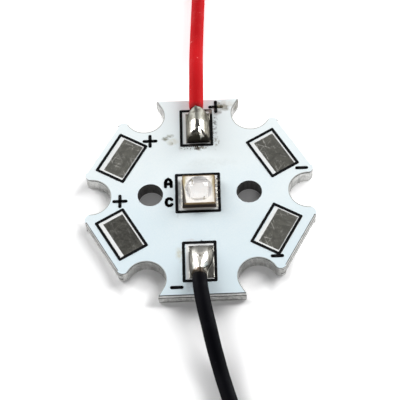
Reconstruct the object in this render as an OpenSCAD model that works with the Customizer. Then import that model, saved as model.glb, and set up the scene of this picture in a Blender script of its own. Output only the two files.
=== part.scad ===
// Star-shaped metal-core circuit board with one high-power light emitter and two soldered leads.
// Millimetres. The origin is the middle of the underside, +Z is up, +X runs through the two
// locating holes and +Y points towards the red lead.

/* [Board] */
// Distance across the flats of the board
board_flats = 19.9; // [19:0.1:22]
// Thickness of the aluminium core
core_t = 1.36; // [1:0.02:3]
// Thickness of the insulating layer between core and copper
dielectric_t = 0.08; // [0.06:0.01:0.2]
// Thickness of the copper circuit
copper_t = 0.04; // [0.03:0.005:0.14]
// Thickness of the solder mask over the copper
mask_t = 0.02; // [0.015:0.005:0.08]
// Depth of each screw notch, from the hexagon's corner
notch_depth = 3.64; // [3:0.02:4]
// Radius of the screw notches
notch_r = 1.73; // [1.5:0.01:1.9]
// Radius of the routed tips beside the four slanted flats
tip_r = 0.55; // [0.3:0.05:0.7]
// Depth of the groove along each flat, from either face, where the board was snapped from its panel
score_depth = 0.4; // [0.3:0.05:0.6]
// Angle of the groove's flank from upright
score_angle = 15; // [10:1:20]
// Diameter of the two locating holes
hole_d = 2.25; // [1.8:0.05:2.6]
// Distance between the two locating holes
hole_spacing = 8.7; // [8:0.1:9.4]

/* [Circuit] */
// Distance of the copper from the board's edge and from the holes
copper_inset = 0.5; // [0.3:0.05:0.7]
// Gap between neighbouring pieces of copper
copper_gap = 0.3; // [0.2:0.05:0.4]
// Length of the copper under the emitter that spreads its heat
thermal_copper_l = 4.4; // [3.6:0.1:5]
// Width of the two pads that carry the leads
power_pad_w = 2.2; // [1.6:0.05:2.4]
// Length of the two pads that carry the leads
power_pad_l = 3.15; // [2.6:0.05:3.25]
// Distance of these pads from the flat
power_pad_inset = 1.575; // [1.2:0.025:1.8]
// Width of the four spare pads, across their flat
side_pad_w = 1.93; // [1.5:0.01:2.2]
// Length of the four spare pads, along their flat
side_pad_l = 3.65; // [3:0.05:3.9]
// Distance of the spare pads from the flat
side_pad_inset = 1.22; // [1:0.02:1.6]
// Thickness of the tin on the spare pads
tin_t = 0.02; // [0.01:0.005:0.03]

/* [Legend] */
// Thickness of the printed ink
legend_t = 0.02; // [0.01:0.005:0.04]
// Width of the printed lines
legend_line = 0.25; // [0.15:0.01:0.28]
// Distance from a lead's pad to the outside of its frame
power_frame_margin = 0.39; // [0.32:0.01:0.5]
// Distance from a spare pad to the outside of its frame, across the flat
side_frame_margin_w = 0.48; // [0.32:0.02:0.52]
// Distance from a spare pad to the outside of its frame, along the flat
side_frame_margin_l = 0.38; // [0.32:0.02:0.44]
// Outer size of the frame around the emitter
emitter_frame = 4; // [3.8:0.05:4.2]
// Sideways error of the print on the copper
legend_dx = -0.16; // [-0.2:0.02:0.2]
// Lengthways error of the print on the copper
legend_dy = 0.06; // [-0.2:0.02:0.2]

/* [Emitter] */
// Side of the emitter's square body
body_w = 2.96; // [2.7:0.02:3.1]
// Height of the body above its terminals
body_h = 0.64; // [0.5:0.02:0.9]
// Inward lean of each side of the body, over its height
body_lean = 0.07; // [0.02:0.01:0.12]
// Thickness of the dark rim around the reflector
rim_t = 0.07; // [0.05:0.01:0.12]
// Thickness of the body's floor
floor_t = 0.24; // [0.15:0.01:0.3]
// Sideways placing of the emitter
emitter_dx = -0.06; // [-0.1:0.02:0.1]
// Radius of the reflector at its floor
cup_floor_r = 0.92; // [0.8:0.02:1]
// Radius of the reflector at its mouth
cup_mouth_r = 1.14; // [1.04:0.02:1.18]
// Radius of the clear dome
dome_r = 1.22; // [1.2:0.01:1.26]
// Depth of the dome's centre below the top of the body
dome_sink = 0.15; // [0.05:0.01:0.2]
// Side of the light-emitting chip
chip_w = 1.06; // [0.8:0.02:1.1]
// Thickness of the chip
chip_t = 0.14; // [0.1:0.01:0.18]
// Radius of the arc of each bond wire
wire_arc_r = 0.13; // [0.11:0.01:0.14]
// Diameter of each bond wire
wire_d = 0.04; // [0.03:0.01:0.06]
// Sideways place of the bond wires on the chip
wire_dx = 0.36; // [0.2:0.02:0.4]
// Thickness of the terminals under the body
terminal_t = 0.06; // [0.04:0.01:0.1]
// Thickness of the solder under the terminals
solder_t = 0.05; // [0.04:0.01:0.08]
// Length of the three lands on the board
land_l = 3.2; // [3.12:0.02:3.3]
// Width of the anode and cathode lands
supply_land_w = 0.6; // [0.4:0.05:0.7]
// Width of the middle land that carries heat
thermal_land_w = 1.1; // [0.8:0.05:1.2]

/* [Leads] */
// Diameter of the insulated leads
lead_d = 1.2; // [1:0.05:1.4]
// Height of each lead above the board where it leaves its solder joint
lead_lift = 0.1; // [0.05:0.05:0.2]
// Diameter of the bared conductor
conductor_d = 0.5; // [0.4:0.05:0.6]
// Length of conductor buried in each solder joint
buried_l = 1.8; // [1.4:0.1:2]
// Length of tinned conductor at the free end of each lead
tip_l = 3.5; // [3:0.5:5]
// Height of the solder joints above the board
joint_h = 1.26; // [1.24:0.02:1.4]

/* [Hidden] */
$fn = 64;

// Cut tools reach this far past the piece that they cut
over = 1;
// Space left where a lead's end face meets its coil
coil_clearance = 0.02;

// Heights of the layers
copper_z = core_t + dielectric_t;
copper_top = copper_z + copper_t;
board_t = copper_top + mask_t;

// Places on the board
edge = board_flats / 2;
corner_r = edge / cos(30);
notch_x = corner_r - notch_depth + notch_r;
tip_x = (edge - notch_r / 2) * tan(30) - notch_r * cos(30);
slanted_flats = [30, 150, 210, 330];
square_flats = [90, 270];
power_pad_y = edge - power_pad_inset - power_pad_l / 2;
side_pad_x = edge - side_pad_inset - side_pad_w / 2;
joint_end = power_pad_y + power_pad_l / 2;
supply_land_y = thermal_land_w / 2 + copper_gap + supply_land_w / 2;

// Heights in the emitter
terminal_z = copper_top + solder_t;
body_z = terminal_z + terminal_t;
cup_z = body_z + floor_t;
body_top = body_z + body_h;
chip_top = cup_z + chip_t;
reflector_w = body_w - 2 * (body_lean + rim_t);

// Each lead's axis stands this high in its joint, and falls to lead_d / 2 on the ground
lead_rise = board_t + lead_lift;

// Routes, chosen by hand: across, along, and the share of lead_rise that is left
red_exit_x = -0.09;
black_exit_x = -0.16;
red_route = [
    [-0.09, 9, 1], [-0.07, 10, 1], [-0.04, 11.5, 1], [-0.02, 13, 0.84], [-0.01, 14.5, 0.5],
    [0.02, 16, 0.16], [0.08, 17.5, 0], [0.19, 19.5, 0], [0.3, 21.5, 0], [0.38, 22.8, 0],
    [0.8, 24.3, 0], [1.6, 25.6, 0], [2.75, 27, 0]
];
black_route = [
    [-0.16, -9, 1], [-0.06, -10, 1], [0.17, -11.5, 1], [0.48, -13, 0.84], [0.8, -14.5, 0.5],
    [1.17, -16, 0.16], [1.55, -17.5, 0], [2.1, -19.5, 0], [2.8, -21.6, 0], [3.7, -23.5, 0]
];

// Tails past the coils: along, and the share of one lead diameter that is left to fall
tail_route = [
    [0, 1], [1.6, 1], [3.2, 1], [4.4, 0.86], [5.6, 0.5], [6.8, 0.14], [7.8, 0], [8.8, 0]
];

// Coils: where their middles are, the outer turn's radius, where they start and how they wind
red_coil_at = [-2, 33.5];
black_coil_at = [-0.6, -30.5];
coil_r = 7.8;
coil_start = -40;
coil_turns_per_layer = 1.9;
coil_turns = 4.1;
coil_end = coil_start + 360 * coil_turns;
coil_inner_r = coil_r - coil_turns_per_layer * lead_d;

// Rectangle with rounded corners, about the origin
module rounded_rectangle(w, l, r) {
    square([w - 2 * r, l], center = true);
    square([w, l - 2 * r], center = true);
    for (x = [-1, 1], y = [-1, 1])
        translate([x * (w / 2 - r), y * (l / 2 - r)]) circle(r = r);
}

module at_power_pads() {
    for (side = [-1, 1]) translate([0, side * power_pad_y]) children();
}

module at_side_pads() {
    for (angle = slanted_flats) rotate(angle) translate([side_pad_x, 0]) children();
}

module at_supply_lands() {
    for (side = [-1, 1]) translate([0, side * supply_land_y]) children();
}

// Waste beside one tip: the corner less the arc that rounds it, for a flat that faces +Y
module tip_waste() {
    centre = [tip_x - tip_r / tan(30), edge - tip_r];
    side_y = edge - tip_r * 1.5;
    difference() {
        polygon([
            centre, [centre.x, edge + over], [tip_x + over, edge + over],
            [tip_x + over, side_y], [centre.x + tip_r * cos(30), side_y]
        ]);
        translate(centre) circle(r = tip_r);
    }
}

// Outline of the board, drawn back from its edge by inset and from the holes by hole_inset
module star(inset = 0, hole_inset = 0) {
    difference() {
        circle(r = corner_r - inset / cos(30), $fn = 6);
        for (angle = [0 : 60 : 300]) rotate(angle) translate([notch_x, 0]) {
            circle(r = notch_r + inset);
            translate([0, -notch_r - inset]) square([notch_depth, 2 * (notch_r + inset)]);
        }
        if (inset == 0)
            for (angle = slanted_flats, side = [0, 1])
                rotate(angle - 90) mirror([side, 0]) tip_waste();
        for (side = [-1, 1])
            translate([side * hole_spacing / 2, 0]) circle(d = hole_d + 2 * hole_inset);
    }
}

// Half of the groove between two boards on the panel, cut from the upper face of a flat facing +Y
module score_groove(length) {
    lean = tan(score_angle);
    rotate([90, 0, -90]) translate([0, 0, -length / 2]) linear_extrude(length)
        polygon([
            [-edge, board_t - score_depth],
            [-edge + (score_depth + over) * lean, board_t + over],
            [-edge - over, board_t + over],
            [-edge - over, board_t - score_depth]
        ]);
}

// The grooves run out through the square flats, and stop at the routed tips of the slanted ones
module score_grooves() {
    for (angle = square_flats)
        rotate(angle - 90) score_groove(2 * (tip_x + over));
    for (angle = slanted_flats)
        rotate(angle - 90) score_groove(2 * (tip_x - tip_r / tan(30)));
}

// One layer of the board, from its lower face z and with its thickness t
module board_layer(z, t) {
    difference() {
        translate([0, 0, z]) linear_extrude(t) star();
        score_grooves();
    }
}

module aluminium_base() {
    color("silver") difference() {
        board_layer(0, core_t);
        translate([0, 0, board_t]) mirror([0, 0, 1]) score_grooves();
    }
}

module dielectric_layer() {
    color("gainsboro") board_layer(core_t, dielectric_t);
}

// Lands under the emitter
module supply_land(grow = 0) {
    translate([0, supply_land_y]) square([land_l + 2 * grow, supply_land_w + 2 * grow], center = true);
}

module thermal_area(grow = 0) {
    square([thermal_copper_l + 2 * grow, thermal_land_w + 2 * grow], center = true);
}

// Copper on one side of the line through two opposite notches, with its land under the emitter
module supply_copper() {
    translate([0, 0, copper_z]) linear_extrude(copper_t) {
        difference() {
            intersection() {
                star(copper_inset, copper_inset);
                rotate(60) translate([-corner_r, copper_gap / 2]) square([2 * corner_r, corner_r]);
            }
            thermal_area(copper_gap);
            rotate(180) supply_land(copper_gap);
        }
        supply_land();
    }
}

module anode_copper() {
    color("chocolate") supply_copper();
}

module cathode_copper() {
    color("peru") rotate(180) supply_copper();
}

module thermal_copper() {
    color("sandybrown") translate([0, 0, copper_z]) linear_extrude(copper_t) thermal_area();
}

// Openings in the mask over every pad and land
module mask_windows() {
    at_power_pads() square([power_pad_w, power_pad_l], center = true);
    at_side_pads() square([side_pad_w, side_pad_l], center = true);
    at_supply_lands() square([land_l, supply_land_w], center = true);
    square([land_l, thermal_land_w], center = true);
}

// The mask lies on the insulating layer and over the copper
module solder_mask() {
    color("aliceblue") difference() {
        board_layer(copper_z, copper_t + mask_t);
        anode_copper();
        cathode_copper();
        thermal_copper();
        translate([0, 0, copper_z]) linear_extrude(board_t) mask_windows();
    }
}

module spare_pad_tinning() {
    color("gray") translate([0, 0, copper_top]) linear_extrude(tin_t)
        at_side_pads() square([side_pad_w, side_pad_l], center = true);
}

// One printed frame, from its outer size
module frame_lines(w, l) {
    difference() {
        rounded_rectangle(w, l, legend_line / 2);
        square([w - 2 * legend_line, l - 2 * legend_line], center = true);
    }
}

module pad_frames() {
    color("black") translate([0, 0, board_t]) linear_extrude(legend_t) difference() {
        translate([legend_dx, legend_dy]) {
            at_power_pads()
                frame_lines(power_pad_w + 2 * power_frame_margin, power_pad_l + 2 * power_frame_margin);
            at_side_pads()
                frame_lines(side_pad_w + 2 * side_frame_margin_w, side_pad_l + 2 * side_frame_margin_l);
            frame_lines(emitter_frame, emitter_frame);
        }
        mask_windows();
    }
}

// Solder along one land of the given width: flat under the terminal, with a fillet up each end
module land_solder(width) {
    half_l = land_l / 2;
    left = emitter_dx - body_w / 2;
    right = emitter_dx + body_w / 2;
    fillet_z = terminal_z + terminal_t / 2;
    rotate([90, 0, 0]) translate([0, 0, -width / 2]) linear_extrude(width)
        polygon([
            [-half_l, copper_top], [half_l, copper_top], [half_l, board_t], [right, fillet_z],
            [right, terminal_z], [left, terminal_z], [left, fillet_z], [-half_l, board_t]
        ]);
}

module emitter_solder() {
    color("lightgray") {
        at_supply_lands() land_solder(supply_land_w);
        land_solder(thermal_land_w);
    }
}

module emitter_terminals() {
    color("gold") translate([emitter_dx, 0, terminal_z]) linear_extrude(terminal_t) {
        at_supply_lands() square([body_w, supply_land_w], center = true);
        square([body_w, thermal_land_w], center = true);
    }
}

// Moulded body: a square cup whose sides lean in, open at the top for the reflector
module emitter_body() {
    color("saddlebrown") translate([emitter_dx, 0, body_z]) difference() {
        linear_extrude(body_h, scale = 1 - 2 * body_lean / body_w) square(body_w, center = true);
        translate([-reflector_w / 2, -reflector_w / 2, floor_t]) cube([reflector_w, reflector_w, body_h]);
    }
}

// Hollow of the reflector, from the floor of the cup to its mouth
module cup() {
    translate([0, 0, cup_z]) cylinder(h = body_top - cup_z, r1 = cup_floor_r, r2 = cup_mouth_r);
}

module emitter_reflector() {
    color("cornsilk") translate([emitter_dx, 0, 0]) difference() {
        translate([-reflector_w / 2, -reflector_w / 2, cup_z])
            cube([reflector_w, reflector_w, body_top - cup_z]);
        cup();
    }
}

module emitter_chip() {
    color("khaki") translate([emitter_dx - chip_w / 2, -chip_w / 2, cup_z]) cube([chip_w, chip_w, chip_t]);
}

// One bond wire: an arc from the chip's edge, and a leg down to the floor of the cup
module bond_wire() {
    reach = chip_w / 2 + wire_arc_r / 2;
    translate([0, reach, chip_top]) {
        rotate([90, 0, 90]) rotate_extrude(angle = 180)
            translate([wire_arc_r, 0]) circle(d = wire_d, $fn = 16);
        translate([0, wire_arc_r, -chip_t]) cylinder(h = chip_t, d = wire_d, $fn = 16);
    }
}

// One wire to the anode's side of the cup, and one to the cathode's
module bond_wires() {
    color("goldenrod") translate([emitter_dx, 0, 0]) {
        translate([-wire_dx, 0, 0]) bond_wire();
        translate([wire_dx, 0, 0]) rotate(180) bond_wire();
    }
}

// Clear silicone that fills the cup and stands over it as a dome
module emitter_dome() {
    color([0.8, 0.9, 1, 0.5]) difference() {
        translate([emitter_dx, 0, 0]) {
            cup();
            intersection() {
                translate([0, 0, body_top - dome_sink]) sphere(r = dome_r);
                translate([-dome_r, -dome_r, body_top]) cube(2 * dome_r);
            }
        }
        emitter_chip();
        bond_wires();
    }
}

// Height of a joint along its pad, from 0 at the inner end to 1 at the lead: it swells to its
// crest and falls by the given share towards the lead
function crest(v, peak, fall) =
    v < peak ? pow(sin(90 * v / peak), 0.7) : 1 - fall * pow((v - peak) / (1 - peak), 2);

// Height of a joint over its pad, for u from -1 to 1 across it: a full barrel over most of its
// length, whose upper part is drawn in to the lead's own width at the end
function joint_height(u, v, peak, fall) =
    joint_h * crest(v, peak, fall) * pow(max(0, 1 - u * u), 0.5 + 1.3 * pow(v, 4));

// Joint on the pad towards +Y, a grid of points over its pad, with the conductor's hole at x
module solder_joint(x, peak, fall) {
    across = 12;
    along = 12;
    us = [for (i = [0 : across]) sin(180 * i / across - 90)];
    vs = [for (j = [0 : along]) (1 - cos(180 * j / along)) / 2];
    top = [
        for (v = vs, u = us)
            [u * power_pad_w / 2, joint_end - (1 - v) * power_pad_l, board_t + joint_height(u, v, peak, fall)]
    ];
    base = [for (p = top) [p.x, p.y, copper_top]];
    row = across + 1;
    below = len(top);
    cells = [for (j = [0 : along - 1], i = [0 : across - 1]) j * row + i];
    upper = [for (k = cells) each [[k, k + row, k + row + 1], [k, k + row + 1, k + 1]]];
    lower = [for (f = upper) [f[2] + below, f[1] + below, f[0] + below]];
    rim = concat(
        [for (i = [0 : across - 1]) i],
        [for (j = [0 : along - 1]) j * row + across],
        [for (i = [across : -1 : 1]) along * row + i],
        [for (j = [along : -1 : 1]) j * row]
    );
    walls = [
        for (k = [0 : len(rim) - 1])
            let (a = rim[k], b = rim[(k + 1) % len(rim)]) [a, b, b + below, a + below]
    ];
    difference() {
        polyhedron(concat(top, base), concat(upper, lower, walls), 4);
        buried_conductor(x, over);
    }
}

// Bare end of a lead inside the joint on the pad towards +Y, longer by the given amount outside it
module buried_conductor(x, extra = 0) {
    translate([x, joint_end + extra, lead_rise + lead_d / 2])
        rotate([90, 0, 0]) cylinder(h = buried_l + extra, d = conductor_d, $fn = 32);
}

module red_solder_joint() {
    color("darkgray") solder_joint(red_exit_x, 0.3, 0);
}

module black_solder_joint() {
    color("darkgray") mirror([0, 1, 0]) solder_joint(black_exit_x, 0.6, 0.05);
}

module red_conductor() {
    color("lightgray") buried_conductor(red_exit_x);
}

module black_conductor() {
    color("lightgray") mirror([0, 1, 0]) buried_conductor(black_exit_x);
}

function unit(v) = v / norm(v);

// Direction of a line of points at point i
function heading(points, i) =
    unit(points[min(i + 1, len(points) - 1)] - points[max(i - 1, 0)]);

// Tube along a line of points
module tube(points, d) {
    sides = 8;
    rings = [
        for (i = [0 : len(points) - 1])
            let (ahead = heading(points, i), across = unit(cross(ahead, [0, 0, 1])), up = cross(across, ahead))
                for (k = [0 : sides - 1])
                    let (angle = 360 * (k + 0.5) / sides)
                        points[i] + d / 2 * (cos(angle) * across + sin(angle) * up)
    ];
    last = len(rings) - sides;
    walls = [
        for (i = [0 : len(points) - 2], k = [0 : sides - 1])
            let (a = i * sides + k, b = i * sides + (k + 1) % sides) [a, b, b + sides, a + sides]
    ];
    near_end = [for (k = [sides - 1 : -1 : 0]) k];
    far_end = [for (k = [0 : sides - 1]) last + k];
    polyhedron(rings, concat(walls, [near_end, far_end]), 4);
}

// A route's points in space
function route_points(route) = [for (p = route) [p.x, p.y, lead_d / 2 + p.z * lead_rise]];

// Where the lead runs into its coil, for a coil that winds to the left (1) or to the right (-1)
function coil_entry(at, turn) =
    [at.x + coil_r * cos(coil_start), at.y + turn * coil_r * sin(coil_start), lead_d / 2];

// Point on the tail, by its distance from the coil and the height that is left to fall
function tail_point(at, turn, along, high) = [
    at.x + coil_r * cos(coil_end) - along * sin(coil_end),
    at.y + turn * (coil_r * sin(coil_end) + along * cos(coil_end)),
    lead_d / 2 + high * lead_d
];

function tail_points(at, turn) = [for (p = tail_route) tail_point(at, turn, p.x, p.y)];

// Outer shape of a coil that winds to the left, with its middle at the origin. The lead runs in
// at the bottom through one notch and out at the top through another
module coil() {
    inner = coil_inner_r - lead_d / 2;
    outer = coil_r + lead_d / 2;
    notch_from = coil_r - lead_d / 2 - coil_clearance;
    notch_l = coil_r;
    difference() {
        rotate_extrude() translate([(inner + outer) / 2, lead_d])
            rounded_rectangle(outer - inner, 2 * lead_d, lead_d / 2);
        rotate(coil_start)
            translate([notch_from, -notch_l, -over]) cube([notch_l, notch_l + coil_clearance, lead_d + over]);
        rotate(coil_end)
            translate([notch_from, -coil_clearance, lead_d]) cube([notch_l, notch_l, lead_d + over]);
    }
}

// Tinned conductor at the end of a tail
module lead_tip(at, turn) {
    points = tail_points(at, turn);
    translate(points[len(points) - 1])
        rotate([0, 90, turn * (coil_end + 90)]) cylinder(h = tip_l, d = conductor_d, $fn = 32);
}

module red_lead() {
    points = concat(
        [[red_exit_x, joint_end, lead_rise + lead_d / 2]],
        route_points(red_route),
        [coil_entry(red_coil_at, 1)]
    );
    color("crimson") tube(points, lead_d);
}

module red_lead_coil() {
    color("crimson") translate(red_coil_at) coil();
}

module red_lead_tail() {
    color("crimson") tube(tail_points(red_coil_at, 1), lead_d);
}

module red_lead_tip() {
    color("lightgray") lead_tip(red_coil_at, 1);
}

module black_lead() {
    points = concat(
        [[black_exit_x, -joint_end, lead_rise + lead_d / 2]],
        route_points(black_route),
        [coil_entry(black_coil_at, -1)]
    );
    color("dimgray") tube(points, lead_d);
}

module black_lead_coil() {
    color("dimgray") translate(black_coil_at) mirror([0, 1, 0]) coil();
}

module black_lead_tail() {
    color("dimgray") tube(tail_points(black_coil_at, -1), lead_d);
}

module black_lead_tip() {
    color("lightgray") lead_tip(black_coil_at, -1);
}

aluminium_base();
dielectric_layer();
anode_copper();
cathode_copper();
thermal_copper();
solder_mask();
spare_pad_tinning();
pad_frames();
emitter_solder();
emitter_terminals();
emitter_body();
emitter_reflector();
emitter_chip();
bond_wires();
emitter_dome();
red_solder_joint();
red_conductor();
red_lead();
red_lead_coil();
red_lead_tail();
red_lead_tip();
black_solder_joint();
black_conductor();
black_lead();
black_lead_coil();
black_lead_tail();
black_lead_tip();
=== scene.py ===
"""Looks of a star-shaped board with one light emitter and two soldered leads.

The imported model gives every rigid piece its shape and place, and this script dresses it. It
makes what the solids leave out: the two free leads, the solder's fine surface, the smooth lens,
the printed signs, the torn edges and the flux. Sizes in the classes are millimetres.
"""
import logging
import math
from dataclasses import dataclass, field
from enum import Enum
from typing import Any, Callable, Sequence

import bpy
from mathutils import Matrix, Vector, noise


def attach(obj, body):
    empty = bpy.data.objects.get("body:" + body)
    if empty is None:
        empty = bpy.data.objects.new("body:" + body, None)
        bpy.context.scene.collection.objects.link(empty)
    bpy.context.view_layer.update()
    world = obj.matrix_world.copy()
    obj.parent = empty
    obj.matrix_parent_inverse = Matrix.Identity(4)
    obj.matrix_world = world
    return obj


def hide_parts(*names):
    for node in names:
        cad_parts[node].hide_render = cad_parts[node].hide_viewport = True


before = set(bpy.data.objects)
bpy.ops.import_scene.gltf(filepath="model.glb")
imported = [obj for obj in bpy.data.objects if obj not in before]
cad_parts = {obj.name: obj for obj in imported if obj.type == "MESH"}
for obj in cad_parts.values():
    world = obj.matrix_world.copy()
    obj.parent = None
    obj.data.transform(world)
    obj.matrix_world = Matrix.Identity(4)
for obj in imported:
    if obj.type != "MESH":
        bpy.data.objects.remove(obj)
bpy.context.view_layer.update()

MM = 0.001
BODY = "root"
LOG = logging.getLogger("star_board")

Point = tuple[float, float, float]
Colour = tuple[float, float, float]

# Materials made so far, by their finish's name
MATERIALS: dict[str, bpy.types.Material] = {}


class Polarity(Enum):
    """Side of the circuit that a lead feeds."""

    ANODE = "red"
    CATHODE = "black"


class Sign(Enum):
    """Marks that are printed on the board."""

    PLUS = "plus"
    MINUS = "minus"
    ANODE = "A"
    CATHODE = "C"


# Levels of the board's layers and of the emitter, in millimetres above the underside
COPPER_TOP = 1.48
BOARD_TOP = 1.50
INK_TOP = 1.52
CUP_FLOOR = 1.83
EMITTER_TOP = 2.23
EMITTER_X = -0.06

# Outline of the board and its locating holes, in millimetres from its middle
FLAT_DISTANCE = 9.95
NOTCH_CENTRE = 9.58
NOTCH_RADIUS = 1.73
TIP_DISTANCE = 10.4
HOLE_DISTANCE = 4.35

# Factors that leave out a place's height
IN_PLAN = (1.0, 1.0, 0.0)

# Most beads of flux to a square metre
DENSEST_BEADS = 2.0e8


def srgb(red: int, green: int, blue: int) -> Colour:
    """Turns a display colour into a linear one.

    Args:
        red: Red, from 0 to 255.
        green: Green, from 0 to 255.
        blue: Blue, from 0 to 255.

    Returns:
        The linear colour.
    """
    def linear(value: int) -> float:
        """Gives one channel as a linear value."""
        share = value / 255
        return share / 12.92 if share <= 0.04045 else ((share + 0.055) / 1.055) ** 2.4

    return linear(red), linear(green), linear(blue)


def smoothstep(low: float, high: float, value: float) -> float:
    """Rises smoothly from 0 at low to 1 at high.

    Args:
        low: Value where the rise starts.
        high: Value where it ends.
        value: Value to place on the rise.

    Returns:
        A share from 0 to 1.
    """
    share = min(1.0, max(0.0, (value - low) / (high - low)))
    return share * share * (3 - 2 * share)


def through(points: Sequence[tuple[float, float]], at: float) -> float:
    """Reads a smooth line through given points.

    Args:
        points: Place and value of each point, in order of place.
        at: Place to read.

    Returns:
        The value there.
    """
    last = len(points) - 1
    at = min(points[last][0], max(points[0][0], at))
    k = max(i for i in range(last) if points[i][0] <= at)

    def slope(i: int) -> float:
        """Gives the line's slope at a point."""
        before, after = points[max(0, i - 1)], points[min(last, i + 1)]
        return (after[1] - before[1]) / (after[0] - before[0])

    (start, low), (end, high) = points[k], points[k + 1]
    t = (at - start) / (end - start)
    bend = slope(k) * (1 - t) - slope(k + 1) * t
    return low + (high - low) * t * t * (3 - 2 * t) + (end - start) * t * (1 - t) * bend


def add_object(name: str, data: bpy.types.ID) -> bpy.types.Object:
    """Puts a mesh, a lamp or a camera in the scene at the origin.

    Args:
        name: Name of the object.
        data: Its mesh, in metres, or its lamp or camera.

    Returns:
        The new object.
    """
    data.name = name
    new = bpy.data.objects.new(name, data)
    bpy.context.scene.collection.objects.link(new)
    return new


def mesh_of(name: str, points: Sequence[Point], faces: Sequence[Sequence[int]],
            edges: Sequence[tuple[int, int]] = (), smooth: bool = True) -> bpy.types.Mesh:
    """Makes a mesh from points in millimetres.

    Args:
        name: Name of the mesh.
        points: Corners, in millimetres.
        faces: Faces, as indices of corners, turning left when seen from outside.
        edges: Loose edges, for a line that a node tree thickens.
        smooth: Whether the faces are shaded smooth.

    Returns:
        The mesh, in metres.
    """
    mesh = bpy.data.meshes.new(name)
    mesh.from_pydata([Vector(p) * MM for p in points], list(edges), [tuple(f) for f in faces])
    mesh.polygons.foreach_set("use_smooth", [smooth] * len(mesh.polygons))
    mesh.update()
    return mesh


def keep(piece: bpy.types.Object, slot: str, *replaced: str) -> bpy.types.Object:
    """Seats a finished piece on the board's body.

    Args:
        piece: The finished piece.
        slot: Not used.
        replaced: Nodes that it stands for.

    Returns:
        The same piece.
    """
    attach(piece, BODY)
    if replaced:
        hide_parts(*replaced)
    return piece


# Node trees


class Wire:
    """An output socket, and the sums that start from its value."""

    def __init__(self, canvas: "Canvas", socket: bpy.types.NodeSocket) -> None:
        """Takes the canvas and the socket."""
        self.canvas = canvas
        self.socket = socket

    def sum(self, operation: str, *others: Any) -> "Wire":
        """Works out a sum, on vectors where this value is a vector or a colour.

        Args:
            operation: Kind of sum.
            others: Values that follow this one.

        Returns:
            The result.
        """
        kind = "ShaderNodeVectorMath" if self.socket.type in ("VECTOR", "RGBA") else "ShaderNodeMath"
        return self.canvas.out(kind, dict(enumerate((self, *others))), operation=operation)

    def __add__(self, other: Any) -> "Wire":
        """Gives this value plus another."""
        return self.sum("ADD", other)

    def __sub__(self, other: Any) -> "Wire":
        """Gives this value less another."""
        return self.sum("SUBTRACT", other)

    def __rsub__(self, other: float) -> "Wire":
        """Gives a number less this value."""
        return self.canvas.out("ShaderNodeMath", {0: other, 1: self}, operation="SUBTRACT")

    def __mul__(self, other: Any) -> "Wire":
        """Gives this value times another."""
        return self.sum("MULTIPLY", other)

    def __abs__(self) -> "Wire":
        """Gives this value without its sign."""
        return self.sum("ABSOLUTE")

    def most(self, other: Any) -> "Wire":
        """Gives the larger of two values."""
        return self.sum("MAXIMUM", other)

    def least(self, other: Any) -> "Wire":
        """Gives the smaller of two values."""
        return self.sum("MINIMUM", other)

    def dot(self, other: Any) -> "Wire":
        """Gives the product of two vectors, as a number."""
        return self.sum("DOT_PRODUCT", other)

    def length(self) -> "Wire":
        """Gives the vector's length."""
        return self.sum("LENGTH")

    def split(self) -> list["Wire"]:
        """Gives the vector's three parts."""
        return self.canvas.outs("ShaderNodeSeparateXYZ", "XYZ", {"Vector": self})

    def turned(self, angle: Any) -> "Wire":
        """Gives the vector turned about the upright axis, by an angle in radians."""
        return self.canvas.out("ShaderNodeVectorRotate", {"Vector": self, "Axis": (0, 0, 1), "Angle": angle})

    def ramp(self, low: Any, high: Any, to_low: Any = 0.0, to_high: Any = 1.0) -> "Wire":
        """Maps this number smoothly from one range to another.

        Args:
            low: Lower end of its range.
            high: Upper end of its range.
            to_low: Result at the lower end.
            to_high: Result at the upper end.

        Returns:
            The mapped number.
        """
        inputs = {"Value": self, "From Min": low, "From Max": high, "To Min": to_low, "To Max": to_high}
        return self.canvas.out("ShaderNodeMapRange", inputs, interpolation_type="SMOOTHSTEP")


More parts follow.
